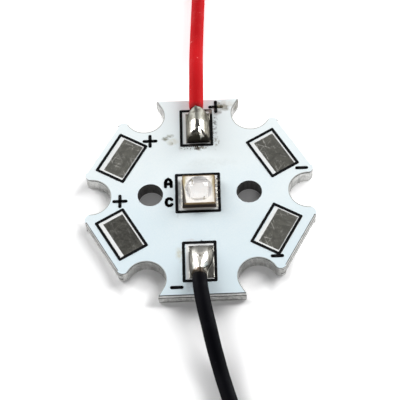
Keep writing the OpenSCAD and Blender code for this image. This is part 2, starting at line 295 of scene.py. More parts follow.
class Canvas:
    """Adds nodes to one tree and joins their sockets."""

    def __init__(self, tree: bpy.types.NodeTree) -> None:
        """Takes the tree to draw in."""
        self.tree = tree

    @staticmethod
    def socket(sockets: Any, key: str | int) -> bpy.types.NodeSocket:
        """Finds a socket.

        Args:
            sockets: A node's inputs or outputs.
            key: Identifier, name or index of the socket.

        Returns:
            The socket that is in use under that key.
        """
        if isinstance(key, int):
            return sockets[key]
        by_identifier = [s for s in sockets if s.identifier == key and s.enabled]
        by_name = [s for s in sockets if s.name == key and s.enabled]
        return (by_identifier or by_name)[0]

    def feed(self, value: Any, target: bpy.types.NodeSocket) -> None:
        """Feeds an input socket.

        Args:
            value: Wire or socket to link from, or a plain value to set.
            target: The input socket.
        """
        source = value.socket if isinstance(value, Wire) else value
        if isinstance(source, bpy.types.NodeSocket):
            self.tree.links.new(source, target)
        else:
            target.default_value = source

    def add(self, kind: str, inputs: dict[str | int, Any] | None = None, **settings: Any) -> bpy.types.Node:
        """Adds a node.

        Args:
            kind: Type of the node.
            inputs: Values or wires, by the input's identifier, name or index.
            settings: Properties of the node.

        Returns:
            The new node.
        """
        node = self.tree.nodes.new(kind)
        for key, value in settings.items():
            setattr(node, key, value)
        for key, value in (inputs or {}).items():
            self.feed(value, self.socket(node.inputs, key))
        return node

    def out(self, kind: str, inputs: dict[str | int, Any] | None = None, result: str = "",
            **settings: Any) -> Wire:
        """Adds a node and gives one of its outputs.

        Args:
            kind: Type of the node.
            inputs: As for add.
            result: Name of the output, where it isn't the first one in use.
            settings: Properties of the node.

        Returns:
            The output.
        """
        node = self.add(kind, inputs, **settings)
        if result:
            return Wire(self, self.socket(node.outputs, result))
        return Wire(self, next(s for s in node.outputs if s.enabled))

    def outs(self, kind: str, names: Sequence[str], inputs: dict[str | int, Any] | None = None,
             **settings: Any) -> list[Wire]:
        """Adds a node and gives several of its outputs.

        Args:
            kind: Type of the node.
            names: Names of the outputs.
            inputs: As for add.
            settings: Properties of the node.

        Returns:
            The outputs, in the order of the names.
        """
        node = self.add(kind, inputs, **settings)
        return [Wire(self, node.outputs[name]) for name in names]

    def blend(self, factor: Any, first: Any, second: Any, how: str = "MIX") -> Wire:
        """Mixes two colours.

        Args:
            factor: Share of the second colour.
            first: Colour at 0.
            second: Colour at 1.
            how: How they are mixed.

        Returns:
            The mixed colour.
        """
        first, second = ((*c, 1.0) if isinstance(c, tuple) else c for c in (first, second))
        inputs = {"Factor_Float": factor, "A_Color": first, "B_Color": second}
        return self.out("ShaderNodeMix", inputs, data_type="RGBA", blend_type=how)

    def noise(self, vector: Any, scale: Any, detail: float = 3.0, distortion: float = 0.0,
              result: str = "Fac") -> Wire:
        """Gives a noise value over the surface."""
        inputs = {"Vector": vector, "Scale": scale, "Detail": detail, "Distortion": distortion}
        return self.out("ShaderNodeTexNoise", inputs, result)

    def place(self) -> Wire:
        """Gives the place on the surface, in millimetres."""
        return self.out("ShaderNodeTexCoord", result="Object") * (1 / MM, 1 / MM, 1 / MM)

    def upward(self) -> Wire:
        """Gives how far the surface faces upwards, from -1 to 1."""
        return self.out("ShaderNodeNewGeometry", result="Normal").split()[2]


class EffectGroup:
    """A shader effect that several finishes share, built once as a node group."""

    def __init__(self, name: str, outputs: Sequence[str], draw: Callable[..., tuple[Wire, ...]],
                 **inputs: Any) -> None:
        """Describes the group.

        Args:
            name: Name of the group.
            outputs: Names of its outputs, which are all numbers.
            draw: Draws the nodes from a wire for each input, and gives a wire for each output.
            inputs: Default value of each input. A tuple is a vector.
        """
        self.name = name
        self.outputs = outputs
        self.draw = draw
        self.inputs = inputs
        self.tree: bpy.types.NodeTree | None = None

    @staticmethod
    def label(key: str) -> str:
        """Gives the socket's name for an input, such as Half size for half_size."""
        return key.replace("_", " ").capitalize()

    def build(self) -> bpy.types.NodeTree:
        """Builds the group's tree.

        Returns:
            The tree, with its named sockets.
        """
        tree = bpy.data.node_groups.new(self.name, "ShaderNodeTree")
        for key, value in self.inputs.items():
            kind = "NodeSocketVector" if isinstance(value, tuple) else "NodeSocketFloat"
            socket = tree.interface.new_socket(self.label(key), in_out="INPUT", socket_type=kind)
            socket.default_value = value
        for name in self.outputs:
            tree.interface.new_socket(name, in_out="OUTPUT", socket_type="NodeSocketFloat")
        canvas = Canvas(tree)
        wires = canvas.outs("NodeGroupInput", [self.label(key) for key in self.inputs])
        drawn = self.draw(canvas, **dict(zip(self.inputs, wires)))
        canvas.add("NodeGroupOutput", dict(zip(self.outputs, drawn)))
        return tree

    def place(self, canvas: Canvas, **values: Any) -> list[Wire]:
        """Places the group in a material.

        Args:
            canvas: The material's tree.
            values: Values or wires for its inputs.

        Returns:
            A wire for each output.
        """
        if self.tree is None:
            self.tree = self.build()
        inputs = {self.label(key): value for key, value in values.items()}
        return canvas.outs("ShaderNodeGroup", self.outputs, inputs, node_tree=self.tree)


def draw_grain(canvas: Canvas, vector: Wire, fine: Wire, slow: Wire) -> tuple[Wire, ...]:
    """Draws fine grain over slow clouds.

    Args:
        canvas: The group's tree.
        vector: Place on the surface.
        fine: Scale of the grain.
        slow: Scale of the clouds.

    Returns:
        The mask, and the grain's height.
    """
    grain = canvas.noise(vector, fine, 4.0)
    clouds = canvas.noise(vector, slow, 2.0, 0.6)
    return (grain * 0.45 + clouds * 0.55).ramp(0.32, 0.68), grain


def draw_scratches(canvas: Canvas, vector: Wire, scale: Wire) -> tuple[Wire, ...]:
    """Draws thin straight scratches in three directions, broken up by noise.

    Args:
        canvas: The group's tree.
        vector: Place on the surface.
        scale: Scale of the scratches.

    Returns:
        The mask.
    """
    lines = []
    for angle, seed in ((0.35, 0.0), (-0.9, 7.0), (1.25, 3.0)):
        stretched = vector.turned(angle) * (0.35, 9.0, 1.0) + (seed, seed, seed)
        lines.append(canvas.noise(stretched, scale, 2.0, 0.4).ramp(0.61, 0.71))
    broken = canvas.noise(vector, 1.7, 2.0).ramp(0.36, 0.56)
    return (lines[0].most(lines[1]).most(lines[2]) * broken,)


def draw_window(canvas: Canvas, vector: Wire, centre: Wire, half_size: Wire, angle: Wire,
                softness: Wire) -> tuple[Wire, ...]:
    """Draws a turned rectangle with soft edges.

    Args:
        canvas: The group's tree.
        vector: Place on the surface.
        centre: Middle of the rectangle.
        half_size: Half its width and height.
        angle: How far it is turned, in radians.
        softness: Half the width of its edge.

    Returns:
        The mask.
    """
    past = abs((vector - centre).turned(angle * -1.0)) - half_size
    across, along, _ = past.split()
    return (across.most(along).ramp(softness, softness * -1.0),)


def draw_stain_or_shadow(canvas: Canvas, vector: Wire, centre: Wire, half_size: Wire, scale: Wire,
               speckle: Wire) -> tuple[Wire, ...]:
    """Draws a ragged round stain or painted shadow that thins out towards its edge.

    Args:
        canvas: The group's tree.
        vector: Place on the surface.
        centre: Middle of the stain or shadow.
        half_size: How far it reaches each way.
        scale: Scale of its ragged edge.
        speckle: How far it is broken into specks, from 0 to 1.

    Returns:
        The mask.
    """
    wander = canvas.noise(vector, scale, 4.0, 0.5, "Color") - (0.5, 0.5, 0.5)
    moved = vector + wander * (half_size * (1.6, 1.6, 1.6)) - centre
    body = moved.sum("DIVIDE", half_size).length().ramp(1.0, 0.25)
    specks = canvas.noise(vector + (5.0, 2.0, 0.0), 3.6, 4.0, 0.6)
    return (body * specks.ramp(speckle * 0.62, 0.63),)


GRAIN = EffectGroup("grain", ("Mask", "Height"), draw_grain, vector=(0.0, 0.0, 0.0), fine=12.0, slow=0.8)
SCRATCHES = EffectGroup("scratches", ("Mask",), draw_scratches, vector=(0.0, 0.0, 0.0), scale=1.0)
WINDOW = EffectGroup(
    "window", ("Mask",), draw_window, vector=(0.0, 0.0, 0.0), centre=(0.0, 0.0, 0.0),
    half_size=(1.0, 1.0, 100.0), angle=0.0, softness=0.05)
STAIN_OR_SHADOW = EffectGroup(
    "stain_or_shadow", ("Mask",), draw_stain_or_shadow, vector=(0.0, 0.0, 0.0), centre=(0.0, 0.0, 0.0),
    half_size=(1.0, 1.0, 1.0), scale=2.0, speckle=0.5)


def window(place: Wire, centre: Sequence[float], half: Sequence[float], angle: float = 0.0,
           softness: float = 0.04) -> Wire:
    """Gives the mask of an upright column with a rectangular section.

    Args:
        place: Place on the surface, in millimetres.
        centre: Middle of the section.
        half: Half its width and its length.
        angle: How far it is turned, in radians.
        softness: Half the width of its edge.

    Returns:
        The mask.
    """
    return WINDOW.place(place.canvas, vector=place, centre=(*centre, 0.0), half_size=(*half, 100.0),
                        angle=angle, softness=softness)[0]


def hexagon_reach(place: Wire, first_angle: float) -> Wire:
    """Gives how far a place lies from the board's middle, along the nearest of six directions.

    Args:
        place: The place.
        first_angle: First direction, in degrees: 30 for the flats and 0 for the notches.

    Returns:
        The distance, in the unit of the place.
    """
    reaches = []
    for turn in (0, 60, 120):
        angle = math.radians(first_angle + turn)
        reaches.append(abs(place.dot((math.cos(angle), math.sin(angle), 0.0))))
    return reaches[0].most(reaches[1]).most(reaches[2])


def notch_depth(flat: Wire) -> Wire:
    """Gives how far a place lies inside the nearest screw notch.

    Args:
        flat: The place, in millimetres, with no height.

    Returns:
        The distance from the notch's wall, below zero on the board.
    """
    along = hexagon_reach(flat, 0)
    across_squared = (flat.dot(flat) - along * along).most(0.0)
    inward = (along - NOTCH_CENTRE).least(0.0)
    return NOTCH_RADIUS - (across_squared + inward * inward).sum("SQRT")


def clear_distance(place: Wire) -> Wire:
    """Gives how far a place on the floor lies outside the board's outline.

    Args:
        place: The place, in millimetres.

    Returns:
        The distance, below zero under the board.
    """
    flat = place * IN_PLAN
    past_flats = hexagon_reach(flat, 30) - FLAT_DISTANCE
    past_tips = flat.length() - TIP_DISTANCE
    return past_flats.most(past_tips).most(notch_depth(flat))


# Finishes


class Surface:
    """One material's surface while it is painted: its colour and its roughness so far."""

    def __init__(self, material: bpy.types.Material) -> None:
        """Starts from the material's own shader."""
        self.canvas = Canvas(material.node_tree)
        self.shader = material.node_tree.nodes["Principled BSDF"]
        self.place = self.canvas.place()
        self.colour: Wire | None = None
        self.rough: Wire | None = None

    def set(self, values: dict[str, Any]) -> None:
        """Sets or feeds the shader's sockets, by their names."""
        for name, value in values.items():
            self.canvas.feed(value, self.shader.inputs[name])

    def close(self) -> None:
        """Feeds what was painted to the shader."""
        painted = {"Base Color": self.colour, "Roughness": self.rough}
        self.set({name: wire for name, wire in painted.items() if wire is not None})

    def grain(self, fine: float, slow: float) -> list[Wire]:
        """Gives the grain's mask and its height."""
        return GRAIN.place(self.canvas, vector=self.place, fine=fine, slow=slow)

    def cover(self, share: Wire, colour: Any, how: str = "MIX") -> None:
        """Paints a colour over the one so far, by a share."""
        self.colour = self.canvas.blend(share, self.colour, colour, how)

    def dull(self, share: Wire, roughness: Any, full: float = 1.0) -> None:
        """Changes the roughness so far to another, as a share rises to its full value."""
        self.rough = share.ramp(0.0, full, self.rough, roughness)

    def bump(self, height: Wire, depth: float, strength: float = 1.0) -> None:
        """Roughens the surface.

        Args:
            height: Height over the surface, from 0 to 1.
            depth: Height of 1, in millimetres.
            strength: Strength of the bump.
        """
        inputs = {"Height": height, "Distance": depth * MM, "Strength": strength}
        self.set({"Normal": self.canvas.out("ShaderNodeBump", inputs)})


@dataclass(frozen=True)
class StainOrShadow:
    """A patch of flux or dirt, or a painted shadow, at a place on the board."""

    centre: Point
    half_size: Point
    colour: Colour
    strength: float = 0.7
    scale: float = 2.0
    speckle: float = 0.5

    def over(self, surface: Surface) -> None:
        """Paints the stain or the painted shadow over a surface.

        Args:
            surface: The surface.
        """
        mask = STAIN_OR_SHADOW.place(surface.canvas, vector=surface.place, centre=self.centre,
                           half_size=self.half_size, scale=self.scale, speckle=self.speckle)[0]
        surface.cover(mask * self.strength, self.colour)


@dataclass(frozen=True)
class Finish:
    """A grained surface, such as ink or moulded plastic, clouded between two colours."""

    name: str
    colour: Colour
    second: Colour
    roughness: float = 0.5
    spread: float = 0.08
    metallic: float = 0.0
    shine: float = 0.5
    varnish: float = 0.0
    fine: float = 14.0
    slow: float = 1.5
    depth: float = 0.003
    scratched: float = 0.0
    scratch_scale: float = 1.0
    bright: Colour = (0.9, 0.9, 0.9)
    # Stains of flux and dirt, and on the mask painted shadows too
    stains_and_shadows: tuple[StainOrShadow, ...] = ()

    def material(self) -> bpy.types.Material:
        """Gives the finish's material, and builds it the first time.

        Returns:
            The material, painted by the surface's own place in millimetres.
        """
        if self.name not in MATERIALS:
            material = bpy.data.materials.new(f"finish_{self.name}")
            material.use_nodes = True
            material.diffuse_color = (*self.colour, 1.0)
            surface = Surface(material)
            surface.set({
                "Base Color": (*self.colour, 1.0), "Roughness": self.roughness, "Metallic": self.metallic,
                "Coat Weight": self.varnish, "Specular IOR Level": self.shine})
            self.paint(surface)
            surface.close()
            MATERIALS[self.name] = material
        return MATERIALS[self.name]

    def roughen(self, surface: Surface, mask: Wire) -> None:
        """Makes the surface glossier where the grain's mask rises."""
        surface.rough = mask.ramp(0.0, 1.0, self.roughness + self.spread, self.roughness - self.spread)

    def paint(self, surface: Surface) -> None:
        """Paints grain, scratches, and stains and painted shadows.

        Args:
            surface: The surface to paint.
        """
        mask, height = surface.grain(self.fine, self.slow)
        surface.colour = surface.canvas.blend(mask, self.second, self.colour)
        self.roughen(surface, mask)
        if self.scratched:
            scratches = SCRATCHES.place(surface.canvas, vector=surface.place, scale=self.scratch_scale)[0]
            share = scratches * self.scratched
            surface.cover(share, self.bright)
            surface.rough = surface.rough + share * 0.15
        for stain_or_shadow in self.stains_and_shadows:
            stain_or_shadow.over(surface)
        surface.bump(height, self.depth)


@dataclass(frozen=True)
class Metal(Finish):
    """Bare metal with grain and clouds of wear."""

    spread: float = 0.1
    metallic: float = 1.0
    fine: float = 12.0
    slow: float = 0.9
    depth: float = 0.004


@dataclass(frozen=True)
class Zone:
    """A stretch of a joint along the board, with its own colour and gloss."""

    begins: float
    full: float
    colour: Colour
    roughness: float
    strength: float


@dataclass(frozen=True)
class JointSolder(Metal):
    """Bright solder: tarnished low on its sides, dull or burnt in zones, thin on the pad, and painted with
    shade along its foot.
    """

    slow: float = 1.6
    fine: float = 6.0
    spread: float = 0.03
    depth: float = 0.002
    streak_stretch: Point = (7.0, 1.2, 2.0)
    streak_sag: float = 1.1
    tarnish: Colour = (0.2, 0.18, 0.14)
    tarnish_roughness: float = 0.55
    tarnish_top: float = 2.3
    vein: Colour = (0.08, 0.07, 0.055)
    clean_half: float = 0.62
    ridge_x: float = 0.0
    zones: tuple[Zone, ...] = ()
    marks: tuple[StainOrShadow, ...] = ()
    facet: tuple[float, float] | None = None
    facet_half: tuple[float, float] = (0.17, 0.33)
    facet_lean: float = 0.5
    # rim: the colour of the painted shade along the mound's foot and at the pad's inner end
    rim: Colour = (0.06, 0.055, 0.05)
    foot_shade_share: float = 0.8
    foot_shade_roughness: float = 0.25
    film: Colour = (0.3, 0.3, 0.3)
    film_roughness: float = 0.4
    film_top: float = 1.58
    # Where the film turns to the rim's painted shade, at the pad's inner end
    inner_end: tuple[float, float] = (5.38, 5.3)

    def tarnished(self, surface: Surface, streaks: Wire) -> Wire:
        """Gives the mask of the tarnish, which lies low and aside of the ridge.

        Args:
            surface: The joint's surface.
            streaks: Noise that is drawn out down the sides.

        Returns:
            The mask.
        """
        across, _, level = surface.place.split()
        low = (level + streaks * -self.streak_sag).ramp(self.tarnish_top - 0.5, self.tarnish_top - 1.15)
        aside = abs(across - self.ridge_x) + (streaks - 0.5) * 0.5
        return low.most(aside.ramp(self.clean_half - 0.06, self.clean_half + 0.1))

    def paint(self, surface: Surface) -> None:
        """Paints zones, marks, tarnish, the dark rim of painted shade at the mound's foot, the clean facet
        and the thin film over the solder.

        Args:
            surface: The surface to paint.
        """
        super().paint(surface)
        canvas, place = surface.canvas, surface.place
        _, along, level = place.split()
        clean, gloss = surface.colour, surface.rough
        streaks = canvas.noise(place * self.streak_stretch, 1.0)
        ragged = along + (canvas.noise(place, 3.0, 4.0) * 0.5 - 0.25)
        for zone in self.zones:
            share = ragged.ramp(zone.begins, zone.full, 0.0, zone.strength)
            surface.cover(share, zone.colour)
            surface.dull(share, zone.roughness)
        for mark in self.marks:
            mark.over(surface)
        low = self.tarnished(surface, streaks)
        surface.cover(low * 0.9, canvas.blend(streaks.ramp(0.42, 0.58), self.vein, self.tarnish), "DARKEN")
        surface.dull(low, self.tarnish_roughness)
        # painted shade: a dark line along the mound's foot, where shade falls between the solder and the pad
        rim = level.ramp(self.film_top + 0.22, self.film_top + 0.1) * self.foot_shade_share
        surface.cover(rim, self.rim)
        surface.dull(rim, self.foot_shade_roughness, self.foot_shade_share)
        if self.facet:
            facet = window(place, self.facet, self.facet_half, self.facet_lean, 0.05)
            surface.cover(facet, clean)
            surface.dull(facet, gloss)
        thin = level.ramp(self.film_top + 0.03, self.film_top - 0.02)
        film = canvas.blend(streaks.ramp(0.4, 0.6, 0.5, 0.0), self.film, self.vein)
        # painted shade: the film turns to the rim's dark colour at the pad's inner end, outlining the mound
        surface.cover(thin, canvas.blend(abs(along).ramp(*self.inner_end, 0.0, 0.95), film, self.rim))
        surface.dull(thin, self.film_roughness)


@dataclass(frozen=True)
class SawnAluminium(Metal):
    """Aluminium whose walls are routed smooth, scored bright, and torn at the web, with painted shade in its
    holes and in the creases of the score.
    """

    upright_stretch: Point = (3.0, 3.0, 0.5)
    level_stretch: Point = (0.5, 0.5, 14.0)
    flats_from: tuple[float, float] = (9.66, 9.72)
    # Reach of the painted shade round each hole
    hole_shade_from: tuple[float, float] = (1.3, 1.2)
    web: tuple[float, float] = (0.4, 1.1)
    web_edge: float = 0.05
    # Colour of the painted shade along the creases
    crease_shade: Colour = (0.04, 0.04, 0.035)
    crease_half: tuple[float, float] = (0.09, 0.04)
    crease_wander: float = 0.12
    torn: Colour = (0.3, 0.3, 0.29)
    # Colour of the painted shade on the hole walls
    hole_shade: Colour = (0.06, 0.055, 0.05)

    def paint(self, surface: Surface) -> None:
        """Paints cutter marks, painted shade on the hole walls, stains, the torn web, and painted shade
        along its creases.

        Args:
            surface: The surface to paint.
        """
        canvas, place = surface.canvas, surface.place
        level = place.split()[2]
        flats = hexagon_reach(place, 30).ramp(*self.flats_from)
        cutter_marks = canvas.noise(place * self.upright_stretch, 1.0)
        score_marks = canvas.noise(place * self.level_stretch, 1.0)
        marks = flats.ramp(0.0, 1.0, cutter_marks, score_marks)
        mask, _ = surface.grain(self.fine, self.slow)
        surface.colour = canvas.blend(mask, self.second, self.colour)
        surface.cover(marks.ramp(0.3, 0.6, 0.3, 0.0), self.torn)
        # painted shade: the walls of the deep holes are painted dark
        from_hole = (abs(place) - (HOLE_DISTANCE, 0.0, 0.0)) * IN_PLAN
        surface.cover(from_hole.length().ramp(*self.hole_shade_from) * 0.85, self.hole_shade)
        for stain_or_shadow in self.stains_and_shadows:
            stain_or_shadow.over(surface)
        low, high = self.web
        between = level.ramp(low, low + self.web_edge) * level.ramp(high, high - self.web_edge)
        clods = canvas.noise(place, 3.5, 4.0).ramp(0.4, 0.6)
        torn = between * abs(canvas.upward()).ramp(0.2, 0.05) * flats * clods
        surface.cover(torn * 0.25, self.torn)
        # painted shade: dark lines along the creases at the top and the foot of the torn web
        wander = canvas.noise(place * (2.0, 2.0, 0.5), 1.0) * self.crease_wander - self.crease_wander / 2
        for height in self.web:
            near = abs(level + wander - height).ramp(*self.crease_half)
            surface.cover(near * flats * 0.95, self.crease_shade)
        rough = marks.ramp(0.3, 0.7, self.roughness + self.spread, self.roughness - self.spread)
        surface.rough = rough + torn * 0.2
        surface.bump(marks + torn * clods * 3.0, self.depth)


@dataclass(frozen=True)
class FrameInside:
    """The space inside a printed frame, where the mask is paler.

    A mirrored one is repeated across both middle lines of the board.
    """

    centre: tuple[float, float]
    half: tuple[float, float]
    lean: float = 0.0
    mirrored: bool = True


@dataclass(frozen=True)
class MaskCoat(Finish):
    """White solder mask, clouded and painted lighter towards the rear, paler inside the printed frames,
    stained with flux, with painted shadows and painted shade on its walls.
    """

    fine: float = 9.0
    slow: float = 0.22
    spread: float = 0.05
    margin: Colour = (0.88, 0.88, 0.87)
    # edge: the painted shade on the side walls
    edge: Colour = (0.2, 0.25, 0.26)
    rim: Colour = (0.25, 0.23, 0.19)
    rim_width: tuple[float, float] = (-0.1, -0.04)
    rim_strength: float = 0.7
    cloud_shift: float = 6.0
    # Where the painted light and the clouds run from the darker front to the lighter rear
    light_and_cloud_ends: tuple[float, float] = (-6.0, 11.0)
    wall: tuple[float, float] = (0.7, 0.4)
    frames: tuple[FrameInside, ...] = (
        FrameInside((0.0, 6.8), (1.32, 1.78)), FrameInside((6.77, 3.86), (1.3, 2.05), math.radians(30)),
        FrameInside((-0.16, 0.06), (1.82, 1.82), mirrored=False))

    def paint(self, surface: Surface) -> None:
        """Paints clouds with painted light towards the rear, margins, stains and painted shadows, a dark
        line along the notch edges, and painted shade on the walls.

        Args:
            surface: The surface to paint.
        """
        place = surface.place
        mask, height = surface.grain(self.fine, self.slow)
        # painted light: the mask is painted lighter towards the rear, where the lamps stand, with the
        # grain's clouds mixed in
        clouds = place.split()[1] + mask * self.cloud_shift
        surface.colour = surface.canvas.blend(clouds.ramp(*self.light_and_cloud_ends), self.second, self.colour)
        mirrored = abs(place)
        for frame_inside in self.frames:
            at = mirrored if frame_inside.mirrored else place
            surface.cover(window(at, frame_inside.centre, frame_inside.half, frame_inside.lean), self.margin)
        for stain_or_shadow in self.stains_and_shadows:
            stain_or_shadow.over(surface)
        # a dark line painted along the notch edges
        notch_line = notch_depth(place * IN_PLAN).ramp(*self.rim_width, 0.0, self.rim_strength)
        surface.cover(notch_line, self.rim)
        # painted shade: the side walls, which face away from the sky, are painted dark
        surface.cover(surface.canvas.upward().ramp(*self.wall), self.edge)
        self.roughen(surface, mask)
        surface.bump(height, self.depth, 0.6)


@dataclass(frozen=True)
class Insulation(Finish):
    """Soft extruded insulation, dusty, and scorched where it was soldered."""

    roughness: float = 0.62
    fine: float = 7.0
    slow: float = 0.5
    spread: float = 0.06
    depth: float = 0.008
    dust: Colour = (0.5, 0.5, 0.5)
    dusted: float = 0.05
    speckled: float = 0.45
    scorch: tuple[float, float] = (0.9, 0.2)

    def paint(self, surface: Surface) -> None:
        """Paints dust, pale specks, and the scorched end by the length along the lead.

        Args:
            surface: The surface to paint.
        """
        canvas = surface.canvas
        along = canvas.out("ShaderNodeAttribute", result="Fac", attribute_name="along")
        mask, height = surface.grain(self.fine, self.slow)
        surface.colour = canvas.blend(mask.ramp(0.55, 1.0, 0.0, self.dusted), self.colour, self.dust)
        surface.cover(canvas.noise(surface.place, 3.5, 0.0).ramp(0.8, 0.88, 0.0, self.speckled), self.dust)
        surface.cover((along + height * 0.5).ramp(*self.scorch) * 0.75, self.second)
        self.roughen(surface, mask)
        surface.bump(height, self.depth)


@dataclass(frozen=True)
class ClearSilicone(Finish):
    """Clear silicone, faintly hazed, that lets light and shadow straight through."""

    refraction: float = 1.41
    haze: float = 0.05

    def paint(self, surface: Surface) -> None:
        """Paints the haze.

        Args:
            surface: The surface to paint.
        """
        canvas = surface.canvas
        surface.set({"Transmission Weight": 1.0, "IOR": self.refraction})
        surface.rough = canvas.noise(surface.place, 3.0, 2.0).ramp(0.4, 0.8, 0.0, self.haze)
        shadow, diffuse = canvas.outs("ShaderNodeLightPath", ("Is Shadow Ray", "Is Diffuse Ray"))
        mixed = canvas.out("ShaderNodeMixShader", {
            0: shadow.most(diffuse), 1: surface.shader.outputs["BSDF"],
            2: canvas.out("ShaderNodeBsdfTransparent")})
        canvas.feed(mixed, canvas.tree.nodes["Material Output"].inputs["Surface"])


@dataclass(frozen=True)
class Reflector(Finish):
    """Cream reflector, white around the chip, gilded along its outer edges, with a wedge of painted shade on
    its left.
    """

    gilt: Colour = (0.6, 0.4, 0.15)
    gilt_corner: tuple[float, float] = (0.85, 1.35)
    gilt_side: tuple[float, float] = (1.2, 1.44)
    gilt_rear: tuple[float, float] = (-2.4, 1.0)
    # The colour and place of the painted shade wedge on the left
    shade: Colour = (0.016, 0.009, 0.006)
    wedge_at: tuple[float, float] = (-1.51, -0.5)
    wedge_half: tuple[float, float] = (0.3, 1.3)
    wedge_lean: float = math.radians(7)

    def paint(self, surface: Surface) -> None:
        """Paints gilt corners and edges, most at the rear, and a wedge of painted shade on the left, where
        the package's left wall lies in shade.

        Args:
            surface: The surface to paint.
        """
        super().paint(surface)
        moved = surface.place - (EMITTER_X, 0.0, 0.0)
        across, along, _ = abs(moved).split()
        uneven = surface.canvas.noise(surface.place, 1.6) * 0.3
        side = (across + uneven).ramp(*self.gilt_side)
        edges = across.least(along).ramp(*self.gilt_corner).most(side)
        rear = moved.dot((0.0, 1.0, 0.0)).ramp(*self.gilt_rear)
        surface.cover(edges * (rear * 0.9), self.gilt)
        # painted shade: a dark wedge for the package's shaded left wall
        surface.cover(window(moved, self.wedge_at, self.wedge_half, self.wedge_lean, 0.05) * 0.9, self.shade)


@dataclass(frozen=True)
class PlatedCup(Finish):
    """Moulded package, with silver plating on its cup's floor and a gilded upper rim."""

    plating: Colour = (0.9, 0.9, 0.9)
    plating_radius: float = 1.0
    rim: Colour = (0.3, 0.2, 0.1)
    rim_from: tuple[float, float] = (EMITTER_TOP - 0.22, EMITTER_TOP + 0.04)
    shade_across: tuple[float, float] = (-1.25, -1.4)
    shade_along: tuple[float, float] = (0.9, 0.2)

    def paint(self, surface: Surface) -> None:
        """Paints the rim, apart from its shaded left front, and the plating over the package.

        Args:
            surface: The surface to paint.
        """
        super().paint(surface)
        place = surface.place
        across, along, level = place.split()
        uneven = surface.canvas.noise(place, 2.5) * 0.12
        shaded = across.ramp(*self.shade_across) * along.ramp(*self.shade_along)
        high = (level + uneven).ramp(*self.rim_from) * (1.0 - shaded)
        surface.cover(high * 0.85, self.rim)
        off_centre = ((place - (EMITTER_X, 0.0, 0.0)) * IN_PLAN).length()
        surface.cover(off_centre.ramp(self.plating_radius + 0.04, self.plating_radius), self.plating)


# Values of the finishes


def spot(place: tuple[float, float], half: tuple[float, float], colour: tuple[int, int, int],
         strength: float, scale: float, speckle: float) -> StainOrShadow:
    """Gives a stain or a painted shadow on the board's printed face.

    Args:
        place: Its middle.
        half: How far it reaches each way.
        colour: Its display colour.
        strength: Share of its colour at its middle.
        scale: Scale of its ragged edge.
        speckle: How far it is broken into specks.

    Returns:
        The stain or painted shadow.
    """
    return StainOrShadow((*place, BOARD_TOP), (*half, 2.0), srgb(*colour), strength, scale, speckle)


# Stains of flux and dirt on the mask, and two painted shadows
MASK_STAINS_AND_SHADOWS = (
    spot((2.2, 9.0), (0.85, 0.62), (122, 117, 98), 0.9, 1.3, 0.2),
    spot((1.7, 8.5), (0.6, 0.5), (136, 126, 122), 0.8, 1.6, 0.2),
    spot((2.8, 9.35), (0.95, 0.5), (214, 214, 204), 0.7, 1.2, 0.2),
    spot((-2.95, 5.85), (0.5, 0.3), (118, 116, 98), 0.9, 1.4, 0.2),
    spot((-2.5, 6.1), (0.5, 0.22), (130, 128, 106), 0.8, 2.0, 0.3),
    spot((-2.35, 5.5), (0.8, 0.5), (214, 212, 196), 0.5, 1.2, 0.2),
    spot((-2.5, 5.25), (0.35, 0.2), (150, 146, 124), 0.7, 2.4, 0.4),
    # painted shadow: the emitter's shadow on the mask along its left side
    spot((-1.85, -0.1), (0.3, 2.2), (150, 158, 158), 0.9, 0.8, 0.1),
    spot((-0.4, 4.8), (1.9, 0.42), (112, 104, 84), 0.8, 2.4, 0.82),
    spot((1.65, 5.2), (0.42, 0.9), (140, 132, 112), 0.75, 2.2, 0.78),
    spot((-1.9, -6.0), (0.42, 0.9), (196, 186, 150), 0.55, 1.4, 0.2),
    spot((-0.9, -4.7), (0.6, 0.3), (212, 206, 204), 0.45, 1.4, 0.3),
    spot((0.05, -4.76), (0.12, 0.12), (40, 36, 30), 0.8, 2.4, 0.1),
    spot((-0.18, 4.66), (0.4, 0.24), (72, 64, 44), 0.85, 3.0, 0.3),
    spot((0.9, 3.1), (3.2, 0.6), (205, 212, 210), 0.2, 0.9, 0.3),
    spot((1.5, 7.0), (0.36, 1.9), (70, 70, 68), 0.75, 2.8, 0.7),
    # painted shadow: the black lead's shadow on the mask, left of where it leaves the board
    spot((-1.0, -9.0), (0.6, 0.7), (170, 175, 180), 0.5, 1.2, 0.2),
)

ALUMINIUM = SawnAluminium(
    "sawn_aluminium", srgb(224, 224, 222), srgb(176, 176, 173), roughness=0.36, torn=srgb(92, 90, 86),
    fine=10.0, slow=1.4, depth=0.012, metallic=0.8, stains_and_shadows=(
        StainOrShadow((3.45, 9.6, 0.8), (0.8, 0.8, 0.9), srgb(100, 94, 76), 0.95, 1.4, 0.1),))
COPPER = Metal("etched_copper", srgb(218, 138, 103), srgb(166, 92, 66), roughness=0.38, fine=16.0)
TINNED_PAD = Metal(
    "tinned_pad", srgb(170, 169, 160), srgb(144, 143, 134), bright=srgb(236, 235, 228), roughness=0.34,
    fine=8.0, slow=2.0, spread=0.06, scratched=0.95, scratch_scale=1.9, stains_and_shadows=(
        StainOrShadow((-6.77, -3.86, 1.5), (3.2, 3.2, 4.0), srgb(104, 103, 97), 0.8, 0.6, 0.0),
        StainOrShadow((6.77, 3.86, 1.5), (3.2, 3.2, 4.0), srgb(104, 103, 97), 0.3, 0.6, 0.0)))
